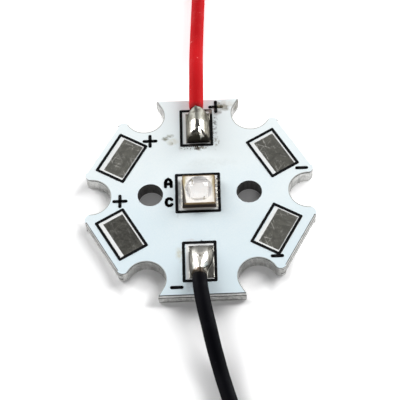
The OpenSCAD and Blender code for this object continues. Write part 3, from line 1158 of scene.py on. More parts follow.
RED_SOLDER = JointSolder(
    "red_joint_solder", srgb(206, 204, 197), srgb(184, 180, 168), roughness=0.1, ridge_x=-0.07,
    facet=(0.22, 5.68), film=srgb(108, 105, 96), tarnish=srgb(112, 108, 98), vein=srgb(56, 52, 40), zones=(
        Zone(6.85, 7.1, srgb(122, 122, 115), 0.55, 0.95),
        Zone(5.9, 5.5, srgb(26, 23, 16), 0.35, 0.97),
    ), marks=(
        StainOrShadow((-0.2, 7.85, 2.6), (0.6, 0.16, 0.6), srgb(66, 63, 54), 0.9, 2.6, 0.1),
        StainOrShadow((0.3, 8.1, 2.6), (0.3, 0.3, 0.6), srgb(94, 90, 78), 0.8, 3.0, 0.3),
        StainOrShadow((-0.55, 7.4, 2.4), (0.25, 0.5, 0.6), srgb(84, 80, 70), 0.8, 3.0, 0.3),
        StainOrShadow((0.5, 7.4, 2.4), (0.25, 0.5, 0.6), srgb(96, 92, 82), 0.8, 3.0, 0.3),
        StainOrShadow((0.0, 5.55, 1.9), (1.1, 0.4, 0.9), srgb(92, 84, 62), 0.85, 5.0, 0.92),
    ))
BLACK_SOLDER = JointSolder(
    "black_joint_solder", srgb(208, 206, 200), srgb(190, 186, 176), roughness=0.12, ridge_x=-0.1,
    film=srgb(142, 141, 135), tarnish=srgb(102, 100, 94), tarnish_top=2.15, vein=srgb(62, 59, 52), zones=(
        Zone(-6.5, -6.2, srgb(140, 139, 135), 0.45, 0.95),
        Zone(-7.8, -8.0, srgb(36, 24, 9), 0.5, 0.96),
    ), marks=(
        StainOrShadow((-0.07, -6.62, 2.3), (0.16, 0.24, 0.6), srgb(96, 84, 60), 0.85, 2.0, 0.1),
        StainOrShadow((-0.3, -7.85, 2.2), (0.5, 0.35, 0.6), srgb(140, 96, 38), 1.0, 4.0, 0.55),
        StainOrShadow((-0.8, -7.9, 1.8), (0.35, 0.8, 0.6), srgb(60, 48, 30), 0.85, 1.6, 0.2),
    ))
REFLOWED = Metal("reflowed_solder", srgb(158, 156, 150), srgb(96, 93, 86), roughness=0.3, fine=9.0, slow=3.0)
BOND_WIRE = Metal("bond_wire", srgb(150, 138, 104), srgb(104, 92, 62), roughness=0.4, fine=20.0, depth=0.002)
GOLD = Metal("gold_plate", srgb(226, 178, 92), srgb(186, 136, 62), roughness=0.25, fine=20.0, depth=0.002)
TINNED_WIRE = Metal("tinned_wire", srgb(206, 205, 200), srgb(158, 156, 150), roughness=0.28, fine=18.0)
# The mask's second colour gives its darker front, painted light mixed with clouds; its edge colour is
# painted shade on its walls
MASK = MaskCoat(
    "white_mask", srgb(242, 250, 251), srgb(225, 240, 246), roughness=0.35, margin=srgb(240, 242, 241),
    edge=srgb(72, 80, 82), stains_and_shadows=MASK_STAINS_AND_SHADOWS)
DIELECTRIC = Finish("insulating_layer", srgb(58, 64, 64), srgb(40, 46, 47), fine=12.0)
INK = Finish(
    "printed_ink", srgb(8, 9, 13), srgb(3, 4, 6), roughness=0.6, fine=16.0, slow=2.0, shine=0.12, stains_and_shadows=(
        spot((2.12, 9.05), (0.5, 0.5), (136, 131, 112), 1.0, 1.3, 0.0),
        spot((1.2, 8.6), (0.55, 0.4), (158, 150, 142), 0.95, 1.5, 0.1),
        spot((1.45, 7.6), (0.2, 0.3), (150, 146, 138), 0.8, 2.2, 0.3)))
PACKAGE = PlatedCup(
    "package_brown", srgb(44, 30, 21), srgb(20, 13, 10), roughness=0.42, fine=16.0, slow=2.0, depth=0.004,
    plating=srgb(252, 251, 251), rim=srgb(140, 116, 80))
CREAM = Reflector(
    "cream_reflector", srgb(254, 251, 247), srgb(250, 245, 236), roughness=0.4, fine=11.0,
    gilt=srgb(172, 156, 108), shine=0.2)
CHIP = Finish(
    "phosphor_chip", srgb(255, 255, 253), srgb(248, 244, 240), roughness=0.25, fine=10.0, slow=3.0)
SILICONE = ClearSilicone("clear_silicone", (1.0, 1.0, 1.0), (1.0, 1.0, 1.0), roughness=0.0)
FLUX = Finish(
    "burnt_flux", srgb(66, 52, 36), srgb(34, 28, 22), roughness=0.22, fine=9.0, slow=3.0, varnish=0.5)
RED = Insulation(
    "red_pvc", srgb(184, 18, 24), srgb(112, 16, 18), dust=srgb(238, 148, 148), shine=0.05)
BLACK = Insulation(
    "black_pvc", srgb(6, 6, 11), srgb(12, 10, 10), dust=srgb(62, 64, 74), shine=0.04)


# Geometry Nodes


class ShapeTree:
    """A Geometry Nodes tree with named inputs, which ends in realized geometry and a material."""

    def __init__(self, name: str, **inputs: str) -> None:
        """Starts the tree.

        Args:
            name: Name of the tree.
            inputs: Kind of each named input, such as Float, besides the geometry and the material.
        """
        self.tree = bpy.data.node_groups.new(name, "GeometryNodeTree")
        kinds = {"Geometry": "Geometry", **inputs, "Finish": "Material"}
        for key, kind in kinds.items():
            self.tree.interface.new_socket(key, in_out="INPUT", socket_type=f"NodeSocket{kind}")
        self.tree.interface.new_socket("Geometry", in_out="OUTPUT", socket_type="NodeSocketGeometry")
        self.canvas = Canvas(self.tree)
        self.entry = dict(zip(kinds, self.canvas.outs("NodeGroupInput", list(kinds))))

    def close(self, geometry: Wire) -> None:
        """Ends the tree.

        Args:
            geometry: The finished shape.
        """
        real = self.canvas.out("GeometryNodeRealizeInstances", {"Geometry": geometry})
        dressed = self.canvas.out(
            "GeometryNodeSetMaterial", {"Geometry": real, "Material": self.entry["Finish"]})
        self.canvas.add("NodeGroupOutput", {"Geometry": dressed})

    def named(self, name: str, kind: str = "FLOAT") -> Wire:
        """Gives an attribute of the mesh that the tree starts from."""
        return self.canvas.out("GeometryNodeInputNamedAttribute", {"Name": name}, data_type=kind)

    def line(self) -> Wire:
        """Gives the mesh that the tree starts from as a curve."""
        return self.canvas.out("GeometryNodeMeshToCurve", {"Mesh": self.entry["Geometry"]})

    def grow(self, name: str, source: bpy.types.Mesh, finish: Finish, **values: Any) -> bpy.types.Object:
        """Runs the tree over a mesh and keeps the result as a plain mesh.

        Args:
            name: Name of the piece.
            source: Mesh that the tree starts from.
            finish: The piece's finish.
            values: Values of the other named inputs.

        Returns:
            The finished piece.
        """
        holder = add_object(name + "_source", source)
        modifier = holder.modifiers.new("shape", "NODES")
        modifier.node_group = self.tree
        values["Finish"] = finish.material()
        for item in self.tree.interface.items_tree:
            if item.in_out == "INPUT" and item.name in values:
                modifier[item.identifier] = values[item.name]
        graph = bpy.context.evaluated_depsgraph_get()
        mesh = bpy.data.meshes.new_from_object(holder.evaluated_get(graph), depsgraph=graph)
        holder.modifiers.remove(modifier)
        bpy.data.objects.remove(holder)
        return add_object(name, mesh)


def sheath_tree() -> ShapeTree:
    """Builds the tree that draws insulation round a line.

    Returns:
        The tree. The line's own swell attribute scales the sheath.
    """
    shape = ShapeTree("sheath", Diameter="Float", Sides="Int")
    canvas, entry = shape.canvas, shape.entry
    length = canvas.out("GeometryNodeSplineParameter", result="Length")
    marked = canvas.out("GeometryNodeStoreNamedAttribute", {
        "Geometry": shape.line(), "Name": "along", "Value": length * (1 / MM),
    }, data_type="FLOAT", domain="POINT")
    ring = canvas.out("GeometryNodeCurvePrimitiveCircle", {
        "Resolution": entry["Sides"], "Radius": entry["Diameter"] * 0.5})
    tube = canvas.out("GeometryNodeCurveToMesh", {
        "Curve": marked, "Profile Curve": ring, "Scale": shape.named("swell"), "Fill Caps": True})
    shape.close(canvas.out("GeometryNodeSetShadeSmooth", {"Geometry": tube}))
    return shape


def ink_tree() -> ShapeTree:
    """Builds the tree that prints round-ended strokes along lines.

    Returns:
        The tree.
    """
    shape = ShapeTree("ink_strokes", Width="Float", Thickness="Float")
    canvas, entry = shape.canvas, shape.entry
    level = canvas.out("GeometryNodeSetCurveNormal", {"Curve": shape.line()}, mode="Z_UP")
    profile = canvas.out("GeometryNodeCurvePrimitiveQuadrilateral", {
        "Width": entry["Width"], "Height": entry["Thickness"]})
    strokes = canvas.out("GeometryNodeCurveToMesh", {
        "Curve": level, "Profile Curve": profile, "Fill Caps": True})
    disc = canvas.out("GeometryNodeMeshCylinder", {
        "Vertices": 20, "Radius": entry["Width"] * 0.5, "Depth": entry["Thickness"]})
    dots = canvas.out("GeometryNodeInstanceOnPoints", {
        "Points": canvas.out("GeometryNodeMeshToPoints", {"Mesh": entry["Geometry"], "Radius": 0.001}),
        "Instance": disc})
    both = canvas.add("GeometryNodeJoinGeometry")
    for part in (dots, strokes):
        canvas.feed(part, both.inputs[0])
    shape.close(Wire(canvas, both.outputs[0]))
    return shape


def bead_tree() -> ShapeTree:
    """Builds the tree that scatters flattened beads of flux over a patch.

    Returns:
        The tree.
    """
    shape = ShapeTree(
        "flux_beads", Spacing="Float", Smallest="Float", Largest="Float", Flatness="Float", Seed="Int")
    canvas, entry = shape.canvas, shape.entry
    points = canvas.out("GeometryNodeDistributePointsOnFaces", {
        "Mesh": entry["Geometry"], "Distance Min": entry["Spacing"], "Density Max": DENSEST_BEADS,
        "Seed": entry["Seed"]}, "Points", distribute_method="POISSON")
    size = canvas.out("FunctionNodeRandomValue", {
        "Min_001": entry["Smallest"], "Max_001": entry["Largest"], "Seed": entry["Seed"]},
        data_type="FLOAT")
    stretch = canvas.out("FunctionNodeRandomValue", {
        "Min_001": 0.7, "Max_001": 1.4, "Seed": entry["Seed"] + 1}, data_type="FLOAT")
    scale = canvas.out("ShaderNodeCombineXYZ", {
        "X": size, "Y": size * stretch, "Z": size * entry["Flatness"]})
    bead = canvas.out("GeometryNodeMeshIcoSphere", {"Radius": 1.0, "Subdivisions": 2})
    shape.close(canvas.out("GeometryNodeInstanceOnPoints", {
        "Points": points, "Scale": scale,
        "Instance": canvas.out("GeometryNodeSetShadeSmooth", {"Geometry": bead})}))
    return shape


def web_tree() -> ShapeTree:
    """Builds the tree that tears the face of a strip outwards, away from the board's middle.

    Returns:
        The tree. The strip's own outer and away attributes say where and in which direction.
    """
    shape = ShapeTree("torn_web", Depth="Float", Scale="Float")
    canvas, entry = shape.canvas, shape.entry
    clods = canvas.noise(canvas.out("GeometryNodeInputPosition"), entry["Scale"])
    rise = clods.ramp(0.42, 0.7) * (shape.named("outer") * entry["Depth"])
    away = shape.named("away", "FLOAT_VECTOR")
    offset = canvas.out("ShaderNodeVectorMath", {"Vector": away, "Scale": rise}, operation="SCALE")
    shape.close(canvas.out("GeometryNodeSetPosition", {"Geometry": entry["Geometry"], "Offset": offset}))
    return shape


# Sub-assemblies


def dress_nodes(dressing: dict[str, Finish]) -> None:
    """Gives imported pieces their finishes.

    Args:
        dressing: Finish of each piece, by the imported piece's name.
    """
    for node, finish in dressing.items():
        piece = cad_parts[node]
        if not piece.material_slots:
            piece.data.materials.append(finish.material())
        for slot in piece.material_slots:
            slot.material = finish.material()


@dataclass
class Lead:
    """One insulated lead: out of its joint, down to the ground, and wound into a coil."""

    polarity: Polarity
    exit_x: float
    route: tuple[Point, ...]
    coil_at: tuple[float, float]
    turn: int
    diameter: float = 1.2
    joint_end: float = 8.375
    drop: float = 1.6
    coil_radius: float = 7.8
    coil_start: float = -40.0
    turns_per_layer: float = 1.9
    turns: float = 4.1
    points_per_turn: int = 20
    sides: int = 24
    tail: tuple[tuple[float, float], ...] = (
        (1.6, 1), (3.2, 1), (4.4, 0.86), (5.6, 0.5), (6.8, 0.14), (7.8, 0), (8.8, 0))
    widths: tuple[tuple[float, float], ...] = (
        (0, 0.98), (0.006, 1.06), (0.03, 1.08), (0.08, 1.05), (0.14, 1.0), (1, 1.0))

    def free_points(self) -> list[Vector]:
        """Gives the points from the joint to the coil's entry."""
        first = (self.exit_x, self.turn * self.joint_end, 1.0)
        radius = self.diameter / 2
        return [Vector((x, y, radius + share * self.drop)) for x, y, share in (first, *self.route)]

    def coil_point(self, turns: float) -> Vector:
        """Gives a point on the coil.

        Args:
            turns: Turns from its entry.

        Returns:
            The point on the lead's middle line.
        """
        radius = self.diameter / 2
        rise = self.turns - 2 * self.turns_per_layer
        inner = self.coil_radius - self.diameter * self.turns_per_layer
        away = max(inner, self.coil_radius - self.diameter * turns)
        if turns > self.turns_per_layer + rise:
            away = inner + self.diameter * (turns - self.turns_per_layer - rise)
        level = radius + self.diameter * smoothstep(self.turns_per_layer, self.turns_per_layer + rise, turns)
        angle = math.radians(self.coil_start + 360 * turns)
        return Vector((
            self.coil_at[0] + away * math.cos(angle),
            self.coil_at[1] + self.turn * away * math.sin(angle), level))

    def tail_points(self) -> list[Vector]:
        """Gives the points from the coil to the tinned tip."""
        angle = math.radians(self.coil_start + 360 * self.turns)
        radius = self.diameter / 2
        return [Vector((
            self.coil_at[0] + self.coil_radius * math.cos(angle) - along * math.sin(angle),
            self.coil_at[1] + self.turn * (self.coil_radius * math.sin(angle) + along * math.cos(angle)),
            radius + share * self.diameter)) for along, share in self.tail]

    def path(self) -> list[Vector]:
        """Gives the lead's whole middle line, in millimetres."""
        steps = round(self.turns * self.points_per_turn)
        coil = [self.coil_point(self.turns * i / steps) for i in range(steps + 1)]
        return [*self.free_points(), *coil, *self.tail_points()]

    def fine_path(self, steps: int = 4) -> list[Vector]:
        """Gives a smooth line through the path's points.

        Args:
            steps: Stretches between two points of the path.

        Returns:
            The points of the smooth line.
        """
        path = self.path()
        ends = [2 * path[0] - path[1], *path, 2 * path[-1] - path[-2]]
        line = []
        for before, start, end, after in zip(ends, ends[1:], ends[2:], ends[3:]):
            for i in range(steps):
                t = i / steps
                line.append(0.5 * (2 * start + (end - before) * t
                                   + (2 * before - 5 * start + 4 * end - after) * t ** 2
                                   + (3 * start - before - 3 * end + after) * t ** 3))
        return [*line, path[-1]]

    def build(self, shape: ShapeTree, finish: Insulation) -> bpy.types.Object:
        """Args:
            shape: Tree that draws insulation round a line.
            finish: The insulation's finish.

        Returns:
            The lead.
        """
        line = self.fine_path()
        swell = [through(self.widths, i / len(line)) for i in range(len(line))]
        for point, scale in zip(line, swell):
            point.z = max(point.z, scale * self.diameter / 2)
        colour = self.polarity.value
        name = f"{colour}_insulation"
        source = mesh_of(name, line, (), [(i, i + 1) for i in range(len(line) - 1)])
        source.attributes.new("swell", "FLOAT", "POINT").data.foreach_set("value", swell)
        lead = shape.grow(name, source, finish, Diameter=self.diameter * MM, Sides=self.sides)
        keep(lead, name, f"{colour}_lead", f"{colour}_lead_coil", f"{colour}_lead_tail")
        path = [point * MM for point in self.path()]
        length = sum((b - a).length for a, b in zip(path, path[1:]))
        return lead


@dataclass
class Dent:
    """A hollow or a ridge on a joint, by its place on the pad."""

    across: float
    along: float
    half_across: float
    half_along: float
    depth: float
    lean: float = 0.0

    def height(self, across: float, along: float) -> float:
        """Gives what the dent adds at a place.

        Args:
            across: Place across the pad, from -1 to 1.
            along: Place along the pad, from 0 at its inner end to 1 at the lead.

        Returns:
            The height that it adds, in millimetres.
        """
        aside = (across - self.across - self.lean * (along - self.along)) / self.half_across
        ahead = (along - self.along) / self.half_along
        return -self.depth * math.exp(-aside * aside - ahead * ahead)


@dataclass(frozen=True)
class Section:
    """Shape of a joint across the pad, at one place along it."""

    left: float
    right: float
    ridge: float
    fullness: float
    steepness: float

    def mound(self, across: float, middle: float) -> float:
        """Gives the mound's height as a share of its ridge's.

        Args:
            across: Place across the pad, from -1 to 1.
            middle: Place of the ridge.

        Returns:
            The share.
        """
        width = self.right - middle if across > middle else self.left + middle
        return max(0.0, 1 - (abs(across - middle) / width) ** self.fullness) ** self.steepness


@dataclass
class SolderJoint:
    """Solder over one lead's pad: a full mound, drawn up to the lead at its end.

    Its lines are given by points whose place runs from 0 at the pad's inner end to 1 at the lead.
    """

    polarity: Polarity
    turn: int
    ridge: tuple[tuple[float, float], ...]
    left: tuple[tuple[float, float], ...]
    right: tuple[tuple[float, float], ...]
    fullness: tuple[tuple[float, float], ...]
    steepness: tuple[tuple[float, float], ...]
    dents: tuple[Dent, ...]
    middle: float = 0.0
    pad_width: float = 2.2
    pad_length: float = 3.15
    pad_end: float = 8.375
    height: float = 1.26
    film: float = 0.03
    ripple: float = 0.025
    ripple_scale: tuple[float, float] = (2.0, 2.6)
    film_scale: tuple[float, float] = (4.0, 6.0)
    border_from: float = 0.93
    cells: int = 110

    def section(self, along: float) -> Section:
        """Gives the shape across the pad at a place along it."""
        return Section(*(through(line, along) for line in (
            self.left, self.right, self.ridge, self.fullness, self.steepness)))

    def level(self, section: Section, across: float, along: float) -> float:
        """Gives the height of the solder above the mask.

        Args:
            section: Shape across the pad at this place along it.
            across: Place across the pad, from -1 to 1.
            along: Place along the pad.

        Returns:
            The height, in millimetres.
        """
        mound = section.mound(across, self.middle)
        dents = sum(dent.height(across, along) for dent in self.dents)
        wide, long = self.ripple_scale
        ripple = self.ripple * noise.noise(Vector((wide * across, long * along, self.turn * 4.0)))
        border = smoothstep(1.0, self.border_from, max(abs(across), 2 * abs(along - 0.5)))
        wide, long = self.film_scale
        film = self.film * border * (1 + 0.5 * noise.noise(Vector((wide * across, long * along, 2.0))))
        return film + self.height * section.ridge * mound + mound ** 0.5 * (dents + ripple) * border

    def build(self, finish: Finish) -> bpy.types.Object:
        """Makes the joint as one closed skin.

        Args:
            finish: The solder's finish.

        Returns:
            The joint.
        """
        row = self.cells + 1
        spread = [math.sin(math.pi * (i / self.cells - 0.5)) for i in range(row)]
        top = []
        for v in spread:
            along = (v + 1) / 2
            section = self.section(along)
            for across in spread:
                level = self.level(section, across, along)
                y = self.turn * (self.pad_end - (1 - along) * self.pad_length)
                top.append((across * self.pad_width / 2, y, BOARD_TOP + level))
        rim = [*range(row), *range(2 * row - 1, row * row, row),
               *range(row * row - 2, row * row - row - 1, -1), *range(row * (row - 2), 0, -row)]
        base = [(top[i][0], top[i][1], COPPER_TOP) for i in rim]
        faces = [(k, k + 1, k + row + 1, k + row)
                 for j in range(self.cells) for k in range(j * row, j * row + self.cells)]
        count = len(rim)
        low = row * row
        for k in range(count):
            after = (k + 1) % count
            faces.append((rim[after], rim[k], low + k, low + after))
        faces.append(tuple(low + k for k in reversed(range(count))))
        if self.turn < 0:
            faces = [tuple(reversed(face)) for face in faces]
        colour = self.polarity.value
        joint = add_object(f"{colour}_solder", mesh_of(f"{colour}_solder", top + base, faces))
        joint.data.materials.append(finish.material())
        return keep(joint, "solder", f"{colour}_solder_joint")


@dataclass
class Board:
    """The star board: its layers as packed, and the torn webs along its six flats."""

    flat_distance: float = FLAT_DISTANCE
    web_low: float = 0.42
    web_high: float = 1.08
    web_back: float = 0.12
    web_front: float = 0.004
    web_columns: int = 90
    web_rows: int = 5
    tear_depth: float = 0.03
    tear_scale: float = 3.2
    long_half: float = 3.6
    short_half: float = 2.75
    dressing: dict[str, Finish] = field(default_factory=lambda: {
        "aluminium_base": ALUMINIUM, "dielectric_layer": DIELECTRIC, "anode_copper": COPPER,
        "cathode_copper": COPPER, "thermal_copper": COPPER, "solder_mask": MASK,
        "spare_pad_tinning": TINNED_PAD, "pad_frames": INK, "red_conductor": TINNED_WIRE,
        "black_conductor": TINNED_WIRE, "red_lead_tip": TINNED_WIRE, "black_lead_tip": TINNED_WIRE,
    })

    def dress(self) -> None:
        """Gives each packed layer its finish."""
        dress_nodes(self.dressing)

    def tear_webs(self, shape: ShapeTree, finish: Finish) -> bpy.types.Object:
        """Makes the torn metal along the flats.

        Args:
            shape: Tree that tears a strip outwards.
            finish: The core's finish.

        Returns:
            One piece with the six webs.
        """
        points: list[Point] = []
        faces: list[tuple[int, ...]] = []
        outer: list[float] = []
        away: list[float] = []
        columns, rows = self.web_columns, self.web_rows
        for angle in range(30, 390, 60):
            half = self.long_half if angle in (90, 270) else self.short_half
            turn = Matrix.Rotation(math.radians(angle), 3, "Z")
            start = len(points)
            for depth in (self.web_back, self.web_front):
                for j in range(rows + 1):
                    for i in range(columns + 1):
                        side = -half + 2 * half * i / columns
                        level = self.web_low + (self.web_high - self.web_low) * j / rows
                        points.append(tuple(turn @ Vector((self.flat_distance - depth, side, level))))
                        free = depth == self.web_front and 0 < j < rows and 0 < i < columns
                        outer.append(1.0 if free else 0.0)
                        away.extend(turn @ Vector((1.0, 0.0, 0.0)))
            faces.extend(self.shell(start, columns, rows))
        source = mesh_of("torn_webs", points, faces, smooth=False)
        source.attributes.new("outer", "FLOAT", "POINT").data.foreach_set("value", outer)
        source.attributes.new("away", "FLOAT_VECTOR", "POINT").data.foreach_set("vector", away)
        webs = shape.grow(
            "torn_webs", source, finish, Depth=self.tear_depth * MM, Scale=self.tear_scale / MM)
        return keep(webs, "aluminium")

    @staticmethod
    def shell(start: int, columns: int, rows: int) -> list[tuple[int, ...]]:
        """Gives the faces of a box whose front and back are grids.

        Args:
            start: Index of its first point.
            columns: Cells along it.
            rows: Cells up it.

        Returns:
            The faces of its closed skin.
        """
        row = columns + 1
        layer = row * (rows + 1)
        faces = []
        for j in range(rows):
            for i in range(columns):
                k = start + j * row + i
                faces.append((k, k + row, k + row + 1, k + 1))
                faces.append((k + layer, k + layer + 1, k + layer + row + 1, k + layer + row))
        for i in range(columns):
            k, top = start + i, start + rows * row + i
            faces.append((k, k + 1, k + 1 + layer, k + layer))
            faces.append((top, top + layer, top + 1 + layer, top + 1))
        for j in range(rows):
            k, end = start + j * row, start + j * row + columns
            faces.append((k, k + layer, k + row + layer, k + row))
            faces.append((end, end + row, end + row + layer, end + layer))
        return faces


@dataclass
class PrintedSigns:
    """Signs printed beside the pads, as strokes of ink on the mask."""

    width: float = 0.29
    arm: float = 0.53
    bar: float = 0.43
    marks: tuple[tuple[Sign, float, float], ...] = (
        (Sign.PLUS, -4.34, 5.61), (Sign.PLUS, -7.02, -0.52), (Sign.PLUS, 1.66, 9.05),
        (Sign.MINUS, 9.08, 2.235), (Sign.MINUS, 6.5, -6.48), (Sign.MINUS, -2.155, -9.16),
        (Sign.ANODE, -2.75, 1.18), (Sign.CATHODE, -2.71, -0.79))

    def strokes(self, sign: Sign) -> list[list[tuple[float, float]]]:
        """Gives a sign's strokes about its middle.

        Args:
            sign: Which sign.

        Returns:
            Its lines, as points in millimetres.
        """
        arm, bar = self.arm, self.bar
        return {
            Sign.PLUS: [[(-arm, 0), (0, 0), (arm, 0)], [(0, -arm), (0, 0)], [(0, 0), (0, arm)]],
            Sign.MINUS: [[(-bar, 0), (bar, 0)]],
            Sign.ANODE: [
                [(-0.25, -0.39), (-0.25, 0.06), (-0.16, 0.28), (0, 0.38),
                 (0.16, 0.28), (0.25, 0.06), (0.25, -0.39)],
                [(-0.25, -0.12), (0.25, -0.12)]],
            Sign.CATHODE: [[
                (0.24, 0.24), (0.12, 0.35), (-0.06, 0.36), (-0.2, 0.24), (-0.25, 0), (-0.2, -0.24),
                (-0.06, -0.36), (0.12, -0.35), (0.24, -0.24)]],
        }[sign]

    def build(self, shape: ShapeTree, finish: Finish) -> bpy.types.Object:
        """Prints all signs as one piece.

        Args:
            shape: Tree that prints strokes.
            finish: The ink.

        Returns:
            The signs.
        """
        points: list[Point] = []
        edges: list[tuple[int, int]] = []
        middle = (BOARD_TOP + INK_TOP) / 2
        for sign, x, y in self.marks:
            for line in self.strokes(sign):
                start = len(points)
                points.extend((x + dx, y + dy, middle) for dx, dy in line)
                edges.extend((start + i, start + i + 1) for i in range(len(line) - 1))
        source = mesh_of("printed_signs", points, (), edges)
        signs = shape.grow(
            "printed_signs", source, finish, Width=self.width * MM, Thickness=(INK_TOP - BOARD_TOP) * MM)
        return keep(signs, "legend_ink")


@dataclass
class Emitter:
    """The light emitter: package, reflector, chip and lens."""

    dome_radius: float = 1.22
    dome_sink: float = 0.15
    mouth_radius: float = 1.14
    floor_radius: float = 0.92
    bury: float = 0.01
    rings: int = 40
    spokes: int = 96
    dressing: dict[str, Finish] = field(default_factory=lambda: {
        "emitter_solder": REFLOWED, "emitter_terminals": GOLD, "emitter_body": PACKAGE,
        "emitter_reflector": CREAM, "emitter_chip": CHIP, "bond_wires": BOND_WIRE,
    })

    def dress(self) -> None:
        """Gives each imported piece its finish."""
        dress_nodes(self.dressing)

    def profile(self) -> list[tuple[float, float]]:
        """Gives the lens's profile, from the middle of its foot to the middle of its dome.

        Returns:
            Radius and height of each ring.
        """
        foot = CUP_FLOOR - self.bury
        cone = [(self.floor_radius / 2, foot), (self.floor_radius + self.bury, foot),
                (self.mouth_radius + self.bury, EMITTER_TOP - self.bury)]
        centre = EMITTER_TOP - self.dome_sink
        low = math.asin((self.dome_sink - self.bury) / self.dome_radius)
        dome = []
        for i in range(self.rings):
            angle = low + (math.pi / 2 - low) * i / self.rings
            dome.append((self.dome_radius * math.cos(angle), centre + self.dome_radius * math.sin(angle)))
        return cone + dome

    def build_lens(self, finish: Finish) -> bpy.types.Object:
        """Turns the lens as one closed skin.

        Args:
            finish: The silicone.

        Returns:
            The lens.
        """
        profile = self.profile()
        points: list[Point] = [(EMITTER_X, 0.0, profile[0][1]),
                               (EMITTER_X, 0.0, EMITTER_TOP - self.dome_sink + self.dome_radius)]
        for radius, level in profile:
            for k in range(self.spokes):
                angle = 2 * math.pi * k / self.spokes
                points.append((EMITTER_X + radius * math.cos(angle), radius * math.sin(angle), level))
        faces: list[tuple[int, ...]] = []
        for k in range(self.spokes):
            after = (k + 1) % self.spokes
            faces.append((0, 2 + after, 2 + k))
            last = 2 + (len(profile) - 1) * self.spokes
            faces.append((1, last + k, last + after))
            for ring in range(len(profile) - 1):
                a = 2 + ring * self.spokes
                faces.append((a + k, a + after, a + self.spokes + after, a + self.spokes + k))
        lens = add_object("silicone_lens", mesh_of("silicone_lens", points, faces))
        lens.data.materials.append(finish.material())
        return keep(lens, "silicone", "emitter_dome")


@dataclass(frozen=True)
class FluxPatch:
    """A rectangle with beads of flux scattered over it."""

    name: str
    centre: Point
    half: tuple[float, float]
    spacing: float
    smallest: float
    largest: float
    seed: int


@dataclass
class FluxResidue:
    """Beads and crumbs of flux left by hand soldering."""

    flatness: float = 0.55
    patches: tuple[FluxPatch, ...] = (
        FluxPatch("beside_emitter", (1.62, 0.1, BOARD_TOP), (0.10, 1.35), 0.16, 0.03, 0.085, 4),
        FluxPatch("on_red_frame", (-0.35, 4.93, INK_TOP), (0.5, 0.1), 0.13, 0.03, 0.08, 7),
        FluxPatch("below_red_pad", (-0.2, 4.8, BOARD_TOP), (1.2, 0.16), 0.18, 0.015, 0.04, 2),
        FluxPatch("under_red_frame", (-0.18, 4.64, BOARD_TOP), (0.16, 0.1), 0.06, 0.035, 0.075, 3),
        FluxPatch("right_of_red_pad", (1.36, 6.3, BOARD_TOP), (0.04, 1.25), 0.12, 0.02, 0.045, 5),
    )

    def build(self, shape: ShapeTree, finish: Finish) -> list[bpy.types.Object]:
        """Scatters the beads of each patch.

        Args:
            shape: Tree that scatters beads.
            finish: The flux.

        Returns:
            One piece for each patch.
        """
        pieces = []
        for patch in self.patches:
            x, y, level = patch.centre
            corners = [(x + across * patch.half[0], y + along * patch.half[1], level)
                       for across, along in ((-1, -1), (1, -1), (1, 1), (-1, 1))]
            beads = shape.grow(
                f"flux_{patch.name}", mesh_of(patch.name, corners, [(0, 1, 2, 3)]), finish,
                Spacing=patch.spacing * MM, Smallest=patch.smallest * MM, Largest=patch.largest * MM,
                Flatness=self.flatness, Seed=patch.seed)
            pieces.append(keep(beads, "solder"))
        return pieces


@dataclass
class Softbox:
    """A rectangular lamp that looks at the object. Its sizes are metres."""

    name: str
    towards: Point
    width: float
    height: float
    radiance: float
    distance: float = 0.6

    def build(self) -> bpy.types.Object:
        """Hangs the lamp.

        Returns:
            The lamp, out of the camera's own sight.
        """
        light = bpy.data.lights.new(self.name, "AREA")
        light.shape = "RECTANGLE"
        light.size = self.width
        light.size_y = self.height
        light.energy = self.radiance * math.pi * self.width * self.height
        lamp = add_object(self.name, light)
        direction = Vector(self.towards).normalized()
        lamp.location = direction * self.distance
        lamp.rotation_euler = direction.to_track_quat("Z", "Y").to_euler()
        lamp.visible_camera = False
        return lamp


@dataclass(frozen=True)
class OpenSide:
    """A side of the board towards which the shade on the floor thins out."""

    direction: Point
    near: float
    far: float
    gain: float


